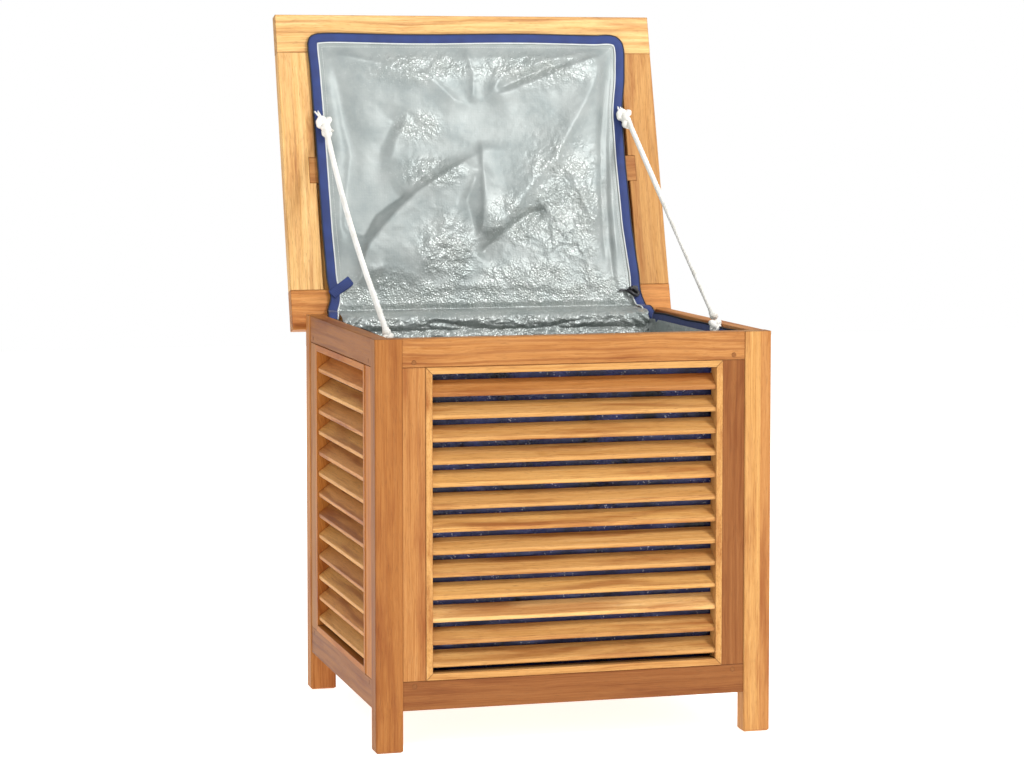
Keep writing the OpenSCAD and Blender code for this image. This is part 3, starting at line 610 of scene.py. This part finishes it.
kl = placed_knot("lid_knot_left", "knot_lid_left", centre_of("knot_lid_left"), (0, 0.6, 0.8),
                 13.5, 4.8, 3, [((-0.6, 0.15, 0.8), 21, 8), ((0.6, -0.5, -0.6), 20, 5)],
                 "lid", second=(0.12, -0.55, -0.8))
kr = placed_knot("lid_knot_right", "knot_lid_right", centre_of("knot_lid_right") + [-3.5, 0, 0], (0, 0.6, 0.8),
                 13.0, 4.7, 5, [((-0.45, 0.1, 0.85), 17, 6), ((0.6, -0.4, -0.55), 18, 9)],
                 "lid", second=(0.1, -0.6, -0.7))
bl = placed_knot("box_knot_left", "knot_box_left", centre_of("knot_box_left") + [1.5, 0, -3], (0.1, -0.9, -0.5),
                 10, 3.5, 9, [((0.8, -0.2, -0.55), 12, 4)], "box")
br = placed_knot("box_knot_right", "knot_box_right", centre_of("knot_box_right") + [-2, 0, -6], (0.3, -0.9, 0.2),
                 11.0, 4.4, 11, [((-0.7, -0.3, -0.6), 10, 4), ((0.7, -0.3, -0.6), 9, 4)], "box")
rope_piece("stay_left", LEFT_RUN)
rope_piece("stay_right", RIGHT_RUN)
# Each knot gets a mesh of its own.
for knot in (bl, br):
    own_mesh(knot)
for knot in (kl, kr):
    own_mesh(knot)

# -------------------------------------------------------------------- flap
# Edges of the flap on the lid, (distance up the lid, place across it).
LEFT_EDGE = [(-60, -238), (20, -238), (45, -236), (65, -240), (150, -243), (300, -245), (400, -247), (460, -250)]
RIGHT_EDGE = [(-60, 238), (20, 243), (55, 248), (150, 241), (255, 239), (335, 240), (390, 249), (460, 253)]
TOP_U = 456.0


def left_edge(u):
    return np.interp(u, *np.transpose(LEFT_EDGE))


def right_edge(u):
    return np.interp(u, *np.transpose(RIGHT_EDGE))


# Creases of the hanging cloth: line, height, falls.
CREASES = [
    ([(-196, 50), (-188, 92), (-178, 124), (-135, 172), (-100, 202), (-45, 237), (10, 268)], 11, 7, 44),
    ([(-186, 130), (-162, 176), (-108, 207)], -8, 24, 5),
    ([(10, 290), (7, 240), (5, 185), (-2, 128)], 6, 30, 6),
    ([(0, 240), (-20, 192), (-12, 160), (-6, 130)], -5, 12, 12),
    ([(5, 250), (-25, 205), (-65, 140), (-105, 85), (-130, 48)], 6, 26, 30),
    ([(0, 104), (32, 150), (85, 220), (125, 262), (180, 350), (215, 420)], 9, 34, 17),
    ([(-10, 103), (25, 135), (78, 172), (112, 180)], -9, 6, 18),
    ([(20, 348), (50, 388), (100, 405), (175, 425), (226, 434)], 5, 12, 10),
    ([(20, 348), (75, 370), (155, 400), (225, 426)], 6, 8, 22),
    ([(36, 366), (90, 389), (160, 413)], -5, 9, 9),
    ([(-226, 428), (-120, 400), (-65, 385), (-30, 350), (2, 338)], 5, 10, 24),
    ([(-6, 437), (4, 390), (0, 343)], 3, 8, 8),
    ([(-214, 428), (-203, 340), (-190, 265), (-198, 205), (-208, 120)], -7, 18, 14),
    ([(-222, 300), (-215, 200), (-218, 110), (-222, 60)], 3, 6, 8),
    ([(-110, 342), (-145, 280), (-163, 205), (-174, 160)], -6, 26, 20),
    ([(-100, 330), (-125, 285), (-135, 250)], 3, 10, 14),
    ([(230, 428), (213, 290), (206, 180), (206, 75), (211, 30)], -6, 5, 9),
    ([(222, 415), (203, 285), (196, 180), (196, 82)], -3, 5, 5),
    ([(217, 300), (214, 190), (214, 90)], 3, 5, 5),
    ([(206, 72), (213, 32), (228, 27)], -5, 4, 5),
    ([(-150, 40), (-60, 62), (30, 58), (110, 70)], 3, 14, 10),
    ([(60, 60), (130, 52), (190, 66)], 3, 10, 8),
    ([(110, 262), (150, 230), (165, 190), (190, 140)], 4, 14, 10),
    ([(-215, 55), (-180, 82), (-150, 92)], 4, 8, 12),
]
# Patches where the film has been crushed: place, reach across and along.
CRUSHED = [(-80, 402, 80, 24), (100, 400, 95, 28), (-72, 236, 46, 24), (-88, 308, 34, 22), (-52, 108, 46, 55),
           (135, 190, 62, 95), (90, 66, 105, 34), (0, 18, 260, 22), (-150, 58, 60, 26), (60, 160, 50, 40)]


def crushed_at(x, u):
    m = np.zeros(np.shape(x))
    for cx, cu, rx, ru in CRUSHED:
        m = np.maximum(m, np.exp(-(((x - cx) / rx) ** 2 + ((u - cu) / ru) ** 2) ** 1.5))
    m = np.maximum(m, step01(84, 52, u))
    m = m * (0.75 + 0.6 * cloth_noise(x, u, 26, 5)) + 0.06
    return np.clip(m, 0, 1)


def hang(x, u):
    """How far the flap stands off the lid at (x, u)."""
    f = 7.5 + 1.6 * cloth_noise(x, u, 120, 2)
    for line, height, l, r in CREASES:
        f = f + 1.35 * fold(x, u, line, height, l, r)
    f = f + 1.3 * cloth_noise(x + 0.3 * u, u, 55, 8)
    m = crushed_at(x, u)
    f = f + m * (2.2 * crumple(x, u, 21, 11) + 1.3 * crumple(x, u, 9.5, 14)) + 0.35 * crumple(x, u, 30, 17)
    inside = np.minimum(np.minimum(x - left_edge(u), right_edge(u) - x), TOP_U - u)
    w = 2.6 + f * step01(8, 46, inside) * (0.2 + 0.8 * step01(25, 120, u))
    return 1.6 + np.logaddexp(0, (w - 1.6) * 1.5) / 1.5


# The line that the cloth follows from inside the bag, over the back rail and
# on to the lid: y, z.
SPINE = [(119, 462), (117, 490), (110, 508), (105, 518), (104, 526), (108, 531), (109, 534), (104, 538),
         (102, 543), (103, 549.5), (107, 554.2), (115, 557), (127.5, 558.7), (137, 558.5), (149, 558.5), (160, 558.8),
         (168, 559.3)]


def set_crushed(obj, values):
    """How far the film is crushed at each point, 0 to 1."""
    layer = obj.data.attributes.new("crushed", "FLOAT", "POINT")
    layer.data.foreach_set("value", np.asarray(values, np.float32))


def make_flap():
    spine = smooth_path([(0, y, z) for y, z in SPINE], 1.6)[:, 1:]
    across = np.linspace(0, 1, 232)
    low_n = len(spine)
    ups = np.arange(26.5, TOP_U - 5, 2.1)
    grid = np.zeros((low_n + len(ups), len(across), 3))
    crush = np.zeros(grid.shape[:2])
    for i in range(low_n):
        y, z = spine[i]
        u = (z - foot[1]) / RISE[2]
        xl, xr = left_edge(u) + 4, right_edge(u) - 4
        x = xl + (xr - xl) * across
        lip = math.exp(-((z - 549) / 5.0) ** 2) * step01(126, 118, y)
        tuck = math.exp(-((z - 525) / 12.0) ** 2) * step01(126, 118, y)
        wave = 2.6 * cloth_noise(x, 0 * x, 70, 21) + 1.4 * cloth_noise(x, 0 * x, 28, 22)
        roll = 6.5 * cloth_noise(x, 0 * x + z * 0.5, 60, 24)
        level = x * 0 + z * 2.2
        small = step01(128, 121, y) * (2.0 * crumple(x, level, 20, 25) + 1.2 * crumple(x, level, 9, 27))
        grid[i, :, 0] = x
        grid[i, :, 1] = y - lip * roll * 0.55 - tuck * roll * 0.7 + small
        # Gathers that fan out from the two back corners, and a ripple where the cloth lies on the rail.
        corner = np.exp(-((240 - np.abs(x)) / 34) ** 2) * step01(128, 120, y)
        grid[i, :, 1] -= corner * 3.2 * (1 + np.cos((np.abs(x) * 0.36 + z * 0.42)))
        # Two hollows under the roll, and the seam that joins two widths of cloth.
        hollow = np.exp(-((x + 60) / 42) ** 2) + 0.8 * np.exp(-((x - 95) / 38) ** 2)
        grid[i, :, 1] += 8 * hollow * np.exp(-((z - 541 - 3 * np.sin(x / 17)) / 4.5) ** 2) * step01(126, 118, y)
        grid[i, :, 1] -= 1.5 * np.exp(-((x - 15) / 2.6) ** 2) * step01(126, 118, y)
        on_rail = step01(127.5, 134, y) * step01(171, 165, y)
        fine, wide = (np.maximum(0, crumple(x, x * 0 + y, size, seed)) for size, seed in ((9, 45), (24, 46)))
        grid[i, :, 2] = z + lip * wave * 1.9 + tuck * wave + on_rail * (1.5 * fine + 0.8 * wide)
        # The cloth on the rail is crushed almost all over. Its crushed colour and glints then paint this band lighter,
        # though it lies in shade inside the rim.
        crush[i] = np.clip(0.75 + 0.5 * cloth_noise(x, x * 0 + y * 2.0, 30, 44), 0.1, 1)
    for i, u in enumerate(ups):
        xl, xr = left_edge(u) + 4, right_edge(u) - 4
        x = xl + (xr - xl) * across
        uu = np.full(x.shape, u)
        low = step01(27, 35, u)
        w = 0.5 + (hang(x, uu) - 0.5) * low + (1 - low) * 0.6 * np.maximum(0, crumple(x, uu, 14, 51))
        grid[low_n + i] = on_lid(x, uu, w)
        crush[low_n + i] = crushed_at(x, uu)
    pts, faces, which = shell(grid, 0.5)
    obj = piece("liner_flap", [(pts, faces, which)], mats=[silver])
    set_crushed(obj, np.concatenate([crush.ravel()] * 2))
    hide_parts("bag_flap", "bag_back_strip")
    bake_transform(obj)


make_flap()


# ------------------------------------------------------- tapes of the flap
def tape_line():
    """Middle of the zip tape: from the bag's back left corner, round the flap, to the back right corner."""
    inset = 6.2
    us = np.linspace(48, TOP_U - 24, 16)
    left = [(left_edge(u) + inset, u) for u in us]
    right = [(right_edge(u) - inset, u) for u in us[::-1]]
    top = [(left_edge(450) + 9, TOP_U - 9.5), (left_edge(450) + 20, TOP_U - inset)]
    top += [(x, TOP_U - inset + 1.0 * math.sin(x * 0.02)) for x in np.linspace(-205, 205, 9)]
    top += [(right_edge(450) - 24, TOP_U - inset), (right_edge(450) - 11, TOP_U - 10.5)]
    flat = left + top + right
    keys = []
    for x, u in flat:
        rest = max(3.2, float(hang(np.array(x), np.array(u)))) + 1.3
        keys.append((*on_lid(x, u, rest), *FACE))
    start = [(-246, 112, 541, 0.2, -1, 0.2), (-245, 121, 552, 0.2, -0.9, 0.5), (-243, 131, 561, 0, -0.5, 1),
             (-240, 149, 561.5, 0, -0.4, 1), (-236, 166, 562.5, 0, -0.7, 0.7)]
    end = [(246, 166, 562.5, 0, -0.7, 0.7), (244, 150, 561.5, 0, -0.4, 1), (244, 131, 561, 0, -0.5, 1),
           (246, 120, 552, -0.2, -0.9, 0.5), (247, 112, 543, -0.2, -1, 0.2)]
    return smooth_path(start + keys + end, 3.0)


def sideways(path, out, by):
    t = unit(np.gradient(path, axis=0))
    side = unit(np.cross(t, out))
    return path + side * by


def zip_teeth(s, a):
    """Radius of the row of teeth: one tooth every 2.4 mm."""
    return 1.15 + 0.35 * np.cos(s * 2 * math.pi / 2.4) + 0 * a


def make_tapes():
    line = tape_line()
    path, out = line[:, :3], unit(line[:, 3:])
    tape = piece("flap_zip_tape", [ribbon(path, out, 13.5, 1.0, puff=0.9)], mats=[navy])
    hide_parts("flap_tape")
    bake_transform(tape)
    inner = sideways(path, out, 7.6)
    outer = sideways(path, out, -7.3)
    hem = piece("flap_piping", [ribbon(inner + out * 0.1, out, 2.2, 1.0, puff=0.8)],
                mats=[piping])
    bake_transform(hem)
    fine = smooth_path(outer[::2], 0.8)
    zipper = piece("flap_zip_teeth", [tube(fine, zip_teeth, 6)], mats=[black])
    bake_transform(zipper)


make_tapes()


def make_tape_tab():
    """The loose end of the tape, as a short tab at the lower left."""
    keys = [on_lid(x, u, w) for x, u, w in ((-236, 50, 6), (-228, 57, 7.5), (-217, 64, 8.5), (-206, 72, 8))]
    line = smooth_path(keys, 2.0)
    out = np.broadcast_to(FACE, (len(line), 3))
    piece("tape_tab", [ribbon(line, out, 15, 1.0, puff=0.9)], body="lid", mats=[navy])


make_tape_tab()

# Cord puller knotted through the slider.
grip = centre_of("zip_pull")
loop = ((0, 0, 2), (4, -4, 5), (9, -8, 5), (14, -9, 3), (17, -5, 2), (13, -1, 3), (8, 2, 4), (3, 1, 5))
puller = [grip + np.array([x, 0, 0]) + u * RISE + w * FACE for x, u, w in loop]
piece("pull_cord", [tube(smooth_path([tuple(q) for q in puller], 1.2), 2.9, 10)], body="slider",
      mats=[black])


def stitches(name, line, body, step=4.2):
    """Lock stitches as short thread dashes along a line of points."""
    parts = []
    s = distance(line)
    for at in np.arange(0, s[-1] - 3, step):
        ends = np.array([[np.interp(a, s, line[:, c]) for c in range(3)] for a in (at, at + 1.4, at + 2.8)])
        ends[1] += FACE * 0.25
        parts.append(tube(ends, 0.35, 5))
    piece(name, parts, body=body, mats=[piping])


def hem_line(inset):
    us = np.arange(48, TOP_U - inset, 3.0)
    a = [(left_edge(u) + inset, u) for u in us]
    t = [(x, TOP_U - inset) for x in np.arange(left_edge(440) + inset + 3, right_edge(440) - inset - 2, 3.0)]
    b = [(right_edge(u) - inset, u) for u in us[::-1]]
    q = np.array(a + t + b)
    return on_lid(q[:, 0], q[:, 1], hang(q[:, 0], q[:, 1]) + 0.45)


stitches("hem_stitching", hem_line(20), "lid")


# --------------------------------------------------------------- liner bag
BAG_MID_Y = -82.0


def bag_ring(hx, hy, r, n):
    """Points round a rounded rectangle, evenly spaced, with the outward way at each."""
    sx, sy, q = 2 * (hx - r), 2 * (hy - r), math.pi * r / 2
    total = 2 * sx + 2 * sy + 4 * q
    s = np.linspace(0, total, n, endpoint=False)
    pts, out = np.zeros((n, 2)), np.zeros((n, 2))
    legs = [((-(hx - r), -hy), (1, 0), sx, (hx - r, -(hy - r)), -90),
            ((hx, -(hy - r)), (0, 1), sy, (hx - r, hy - r), 0),
            (((hx - r), hy), (-1, 0), sx, (-(hx - r), hy - r), 90),
            ((-hx, hy - r), (0, -1), sy, (-(hx - r), -(hy - r)), 180)]
    for i, d in enumerate(s):
        for start, way, length, mid, a0 in legs:
            if d < length:
                pts[i] = np.array(start) + np.array(way) * d
                out[i] = (way[1], -way[0])
                break
            d -= length
            if d < q:
                a = math.radians(a0 + 90 * d / q)
                out[i] = (math.cos(a), math.sin(a))
                pts[i] = np.array(mid) + r * out[i]
                break
            d -= q
    return s, pts, out


def make_bag():
    n = 300
    s, ring, out = bag_ring(241, 201, 30, n)
    z0, z1 = 87.6, 546.0
    rows, crush = [], []
    for k in np.linspace(0.03, 0.9, 14):
        ripple = 2.0 * (1 + cloth_noise(ring[:, 0] * k, ring[:, 1] * k, 60, 31))
        rows.append(np.stack([ring[:, 0] * k, ring[:, 1] * k + BAG_MID_Y, z0 + ripple * k], -1))
        crush.append(np.full(n, 0.3))
    for t in np.linspace(0, 1, 9):
        a = t * math.pi / 2
        k = 0.9 + 0.1 * math.sin(a)
        z = z0 + 3 + 24 * (1 - math.cos(a))
        rows.append(np.stack([ring[:, 0] * k, ring[:, 1] * k + BAG_MID_Y, np.full(n, z)], -1))
        crush.append(np.full(n, 0.3))
    total = 2 * (482 + 402)
    loop = s / total * 2 * math.pi
    cx, cy = 260 * np.cos(loop), 260 * np.sin(loop)
    for z in np.arange(z0 + 32, z1 + 1, 5.0):
        t = (z - z0) / (z1 - z0)
        slump = 1 - step01(0.55, 1.0, t)
        vert = cloth_noise(cx, cy + z * 0.12, 34, 33) * (1.0 + 3.2 * slump)
        belly = 4.5 * math.sin(math.pi * min(1, t * 1.05)) - 3.0
        heap = 3.2 * slump * cloth_noise(cx * 0.8 + z, cy + 1.7 * z, 42, 35)
        fine = 1.7 * crumple(cx * 1.6, cy * 1.6 + z, 26, 37)
        top = 6.5 * step01(0.93, 1.0, t) * np.clip(out[:, 1] < 0.5, 0, 1)
        off = np.clip(vert + belly + heap + fine, -9, 7.0) * (1 - 0.75 * step01(0.93, 1, t)) + top
        q = ring + out * off[:, None]
        rows.append(np.stack([q[:, 0], q[:, 1] + BAG_MID_Y, np.full(n, z)], -1))
        crush.append(np.clip(0.35 + 0.3 * step01(300, 420, z) + 0.7 * cloth_noise(cx, cy + z, 45, 39), 0, 1))
    grid = np.array(rows)
    pts, faces, which = shell(grid, 1.2, wrap=True, front=1, back=0, centre=True)
    # Close the middle of the floor on both faces.
    off = grid.shape[0] * n
    hub = [grid[0].mean(0) + (0, 0, 0.6), grid[0].mean(0) - (0, 0, 0.6)]
    top_hub, low_hub = len(pts), len(pts) + 1
    pts = np.vstack([pts, hub])
    if pts[0][2] <= pts[off][2]:
        top_hub, low_hub = low_hub, top_hub
    for k in range(n):
        k2 = (k + 1) % n
        faces.append((top_hub, k2, k))
        faces.append((low_hub, off + k, off + k2))
        which += [1, 0]
    obj = piece("liner_bag", [(pts, faces, which)], body="box", mats=[silver, navy_cloth])
    c = np.array(crush).ravel()
    set_crushed(obj, np.concatenate([c, c, [0.3, 0.3]]))
    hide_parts("bag_shell")


make_bag()


def make_rim():
    """Zip tape round the three open sides of the bag's mouth, with its teeth on top."""
    keys = []
    for x, y in [(-246.5, 108), (-248.5, 60), (-249.5, -20), (-248.8, -120), (-249, -220), (-247.5, -262), (-236, -283),
                 (-205, -286.5), (-100, -287.5), (0, -286.8), (100, -287.5), (205, -286.5), (236, -283),
                 (248.3, -262), (249.5, -220), (248.6, -120), (249.8, -40), (248.6, 50), (246.5, 108)]:
        keys.append((x, y, 545.5 + 0.8 * math.sin(x * 0.05 + y * 0.04)))
    line = smooth_path(keys, 4.0)
    t = unit(np.gradient(line, axis=0))
    inward = unit(np.cross([0, 0, 1], t))
    lower = unit(np.stack([inward[:, 0], inward[:, 1], 0.12 + 0 * t[:, 0]], -1))
    band = piece("rim_zip_tape", [ribbon(line, lower, 16.5, 1.0, puff=0.6)], body="box",
                 mats=[navy])
    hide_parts("bag_rim_tape")
    trim = line + lower * 0.5 - np.array([0, 0, 9.0])
    piece("rim_piping", [ribbon(trim, lower, 2.4, 0.9, puff=0.6)], body="box",
          mats=[piping])
    top = line - lower * 0.6 + np.array([0, 0, 8.6])
    fine = smooth_path(top[::2], 0.8)
    piece("rim_zip_teeth", [tube(fine, zip_teeth, 6)], body="box", mats=[black])


make_rim()

# ------------------------------------------------------------ wood finishes
# Teak runs from pale sapwood to dark heartwood; each board takes one of these tones.
STRAW, HONEY, GOLD, SAND = "#f2cb8f", "#ebb46c", "#e3a664", "#daac6c"
AMBER, WHEAT, TAWNY, GINGER = "#d69a5b", "#d0a266", "#ca8e52", "#cc8840"
BUFF, RUSSET, UMBER = "#bc8750", "#a8703a", "#925e32"
# The way the grain runs.
UPRIGHT, ACROSS, DEEP, LID_UP = (0, 0, 1), (1, 0, 0), (0, 1, 0), tuple(RISE)
SLAT_STEP = (UPRIGHT, 0.109, 0.0305083)
# Slats from the lowest up.
FRONT_SLATS = [WHEAT, WHEAT, STRAW, SAND, WHEAT, WHEAT, SAND, WHEAT, SAND, WHEAT, WHEAT, WHEAT, BUFF]
SIDE_SLATS = [HONEY, GOLD, HONEY, AMBER, HONEY, AMBER, GOLD, HONEY, GOLD, HONEY, GOLD, HONEY, GOLD]
PLANKS = [HONEY, AMBER, GOLD, TAWNY, HONEY, AMBER, TAWNY, GOLD, AMBER]
FLOOR = [TAWNY, BUFF, AMBER, BUFF, TAWNY, BUFF]
# Grain, tones, place of the boards where there are several, and strength of the arched figure.
WOOD = {
    "post_front_left": (UPRIGHT, [RUSSET], None, 0.2),
    "post_front_right": (UPRIGHT, [WHEAT, BUFF], (ACROSS, 0.242, 0.0228), 0.2),
    "post_back_left": (UPRIGHT, [TAWNY], None, 0.3),
    "post_back_right": (UPRIGHT, [AMBER], None, 0.3),
    "front_top_rail": (ACROSS, [BUFF], None, 0.7),
    "front_bottom_rail": (ACROSS, [UMBER], None, 0.7),
    "front_stile_left": (UPRIGHT, [BUFF], None, 0.3),
    "front_stile_right": (UPRIGHT, [UMBER], None, 0.5),
    "front_bead": (ACROSS, [WHEAT], None, 0.2),
    "back_top_rail": (ACROSS, [AMBER], None, 0.6),
    "back_bottom_rail": (ACROSS, [BUFF], None, 0.6),
    "back_stile_left": (UPRIGHT, [TAWNY], None, 0.4),
    "back_stile_right": (UPRIGHT, [TAWNY], None, 0.4),
    "back_bead": (ACROSS, [AMBER], None, 0.2),
    "left_top_rail": (DEEP, [RUSSET], None, 0.7),
    "left_bottom_rail": (DEEP, [RUSSET], None, 0.7),
    "left_stile_front": (UPRIGHT, [GINGER], None, 0.3),
    "left_stile_back": (UPRIGHT, [BUFF], None, 0.3),
    "left_bead": (DEEP, [GINGER], None, 0.2),
    "right_top_rail": (DEEP, [AMBER], None, 0.7),
    "right_bottom_rail": (DEEP, [TAWNY], None, 0.7),
    "right_stile_front": (UPRIGHT, [TAWNY], None, 0.4),
    "right_stile_back": (UPRIGHT, [AMBER], None, 0.4),
    "right_bead": (DEEP, [TAWNY], None, 0.2),
    "joint_pegs": (DEEP, [UMBER], None, 0.2),
    "floor_bearers": (ACROSS, [BUFF], None, 0.4),
    "floor_boards": (DEEP, FLOOR, (ACROSS, -0.2555, 0.0852), 0.6),
    "lid_front_rail": (ACROSS, [STRAW], None, 0.8),
    "lid_back_rail": (ACROSS, [AMBER], None, 0.6),
    "lid_stile_left": (LID_UP, [STRAW], None, 0.5),
    "lid_stile_right": (LID_UP, [WHEAT], None, 0.9),
    "lid_batten": (ACROSS, [BUFF], None, 0.4),
    "lid_planks": (LID_UP, PLANKS, (ACROSS, -0.247, 0.055), 0.7),
    "front_slats": (ACROSS, FRONT_SLATS, SLAT_STEP, 0.95),
    "back_slats": (ACROSS, FRONT_SLATS[::-1], SLAT_STEP, 0.5),
    "left_slats": (DEEP, SIDE_SLATS, SLAT_STEP, 0.95),
    "right_slats": (DEEP, FRONT_SLATS[4:] + FRONT_SLATS[:4], SLAT_STEP, 0.5),
}


def dress(names, mat):
    for node in names:
        nodes[node].data.materials.clear()
        nodes[node].data.materials.append(mat)


for number, (node, (along, boards, step, figure)) in enumerate(WOOD.items()):
    frame_of = None
    if node.endswith("_bead"):
        corners = np.array([nodes[node].matrix_world @ Vector(q) for q in nodes[node].bound_box])
        mid, half = (corners.max(0) + corners.min(0)) / 2, (corners.max(0) - corners.min(0)) / 2
        side = 0 if along[0] else 1
        frame_of = (along, mid[side], half[side], mid[2], half[2])
    dress([node], teak("oiled_teak_" + node, along, boards, step, number + 1, figure, mitred=frame_of))
dress(("hinge_leaf_box", "hinge_leaf_lid", "hinge_pins", "hinge_screws_box", "hinge_screws_lid"), steel)
dress(("zip_slider", "zip_pull"), black)

# ------------------------------------------------------------- floor, light
floor = piece("floor", [([(-6000, -6000, -0.5), (6000, -6000, -0.5), (6000, 6000, -0.5), (-6000, 6000, -0.5)],
                         [(0, 1, 2, 3)], 0)])
ground, t = finish("pale_matt_floor")
skin = add(t, "BsdfPrincipled", values={"Base Color": srgb("#f4f4f4"), "Roughness": 0.9,
                                        "Emission Color": srgb("#ffffff"), "Emission Strength": 0.8})
add(t, "OutputMaterial", {"Surface": skin.outputs[0]})
floor.data.materials.append(ground)

world = bpy.data.worlds.new("studio")
world.use_nodes = True
sky = world.node_tree
sky.nodes.clear()
aim = add(sky, "VectorMath", {0: add(sky, "TexCoord").outputs["Generated"]}, values={1: (0.75, -0.3, 0.6)},
          operation="DOT_PRODUCT")
wash = add(sky, "ValToRGB", {"Fac": aim.outputs["Value"]}, stops=[(0.0, 0.48), (0.75, 0.95)])
fill = add(sky, "Background", {"Strength": wash.outputs[0]}, values={"Color": (1, 1, 1, 1)})
paper = add(sky, "Background", values={"Color": (1, 1, 1, 1), "Strength": 1.0})
seen = add(sky, "LightPath")
both = add(sky, "MixShader", {0: seen.outputs["Is Camera Ray"], 1: fill.outputs[0], 2: paper.outputs[0]})
add(sky, "OutputWorld", {"Surface": both.outputs[0]})
bpy.context.scene.world = world
bpy.context.scene.view_settings.view_transform = "Standard"


def softbox(name, at, to, size, power):
    light = bpy.data.lights.new(name, "AREA")
    light.size = size
    light.energy = power
    obj = bpy.data.objects.new(name, light)
    bpy.context.scene.collection.objects.link(obj)
    obj.location = at
    obj.rotation_euler = (Vector(to) - Vector(at)).to_track_quat("-Z", "Y").to_euler()


softbox("key", (1.9, -2.7, 2.9), (0, 0, 0.5), 0.8, 95)
softbox("front_fill", (-2.2, -3.2, 1.4), (0, 0, 0.4), 1.6, 26)
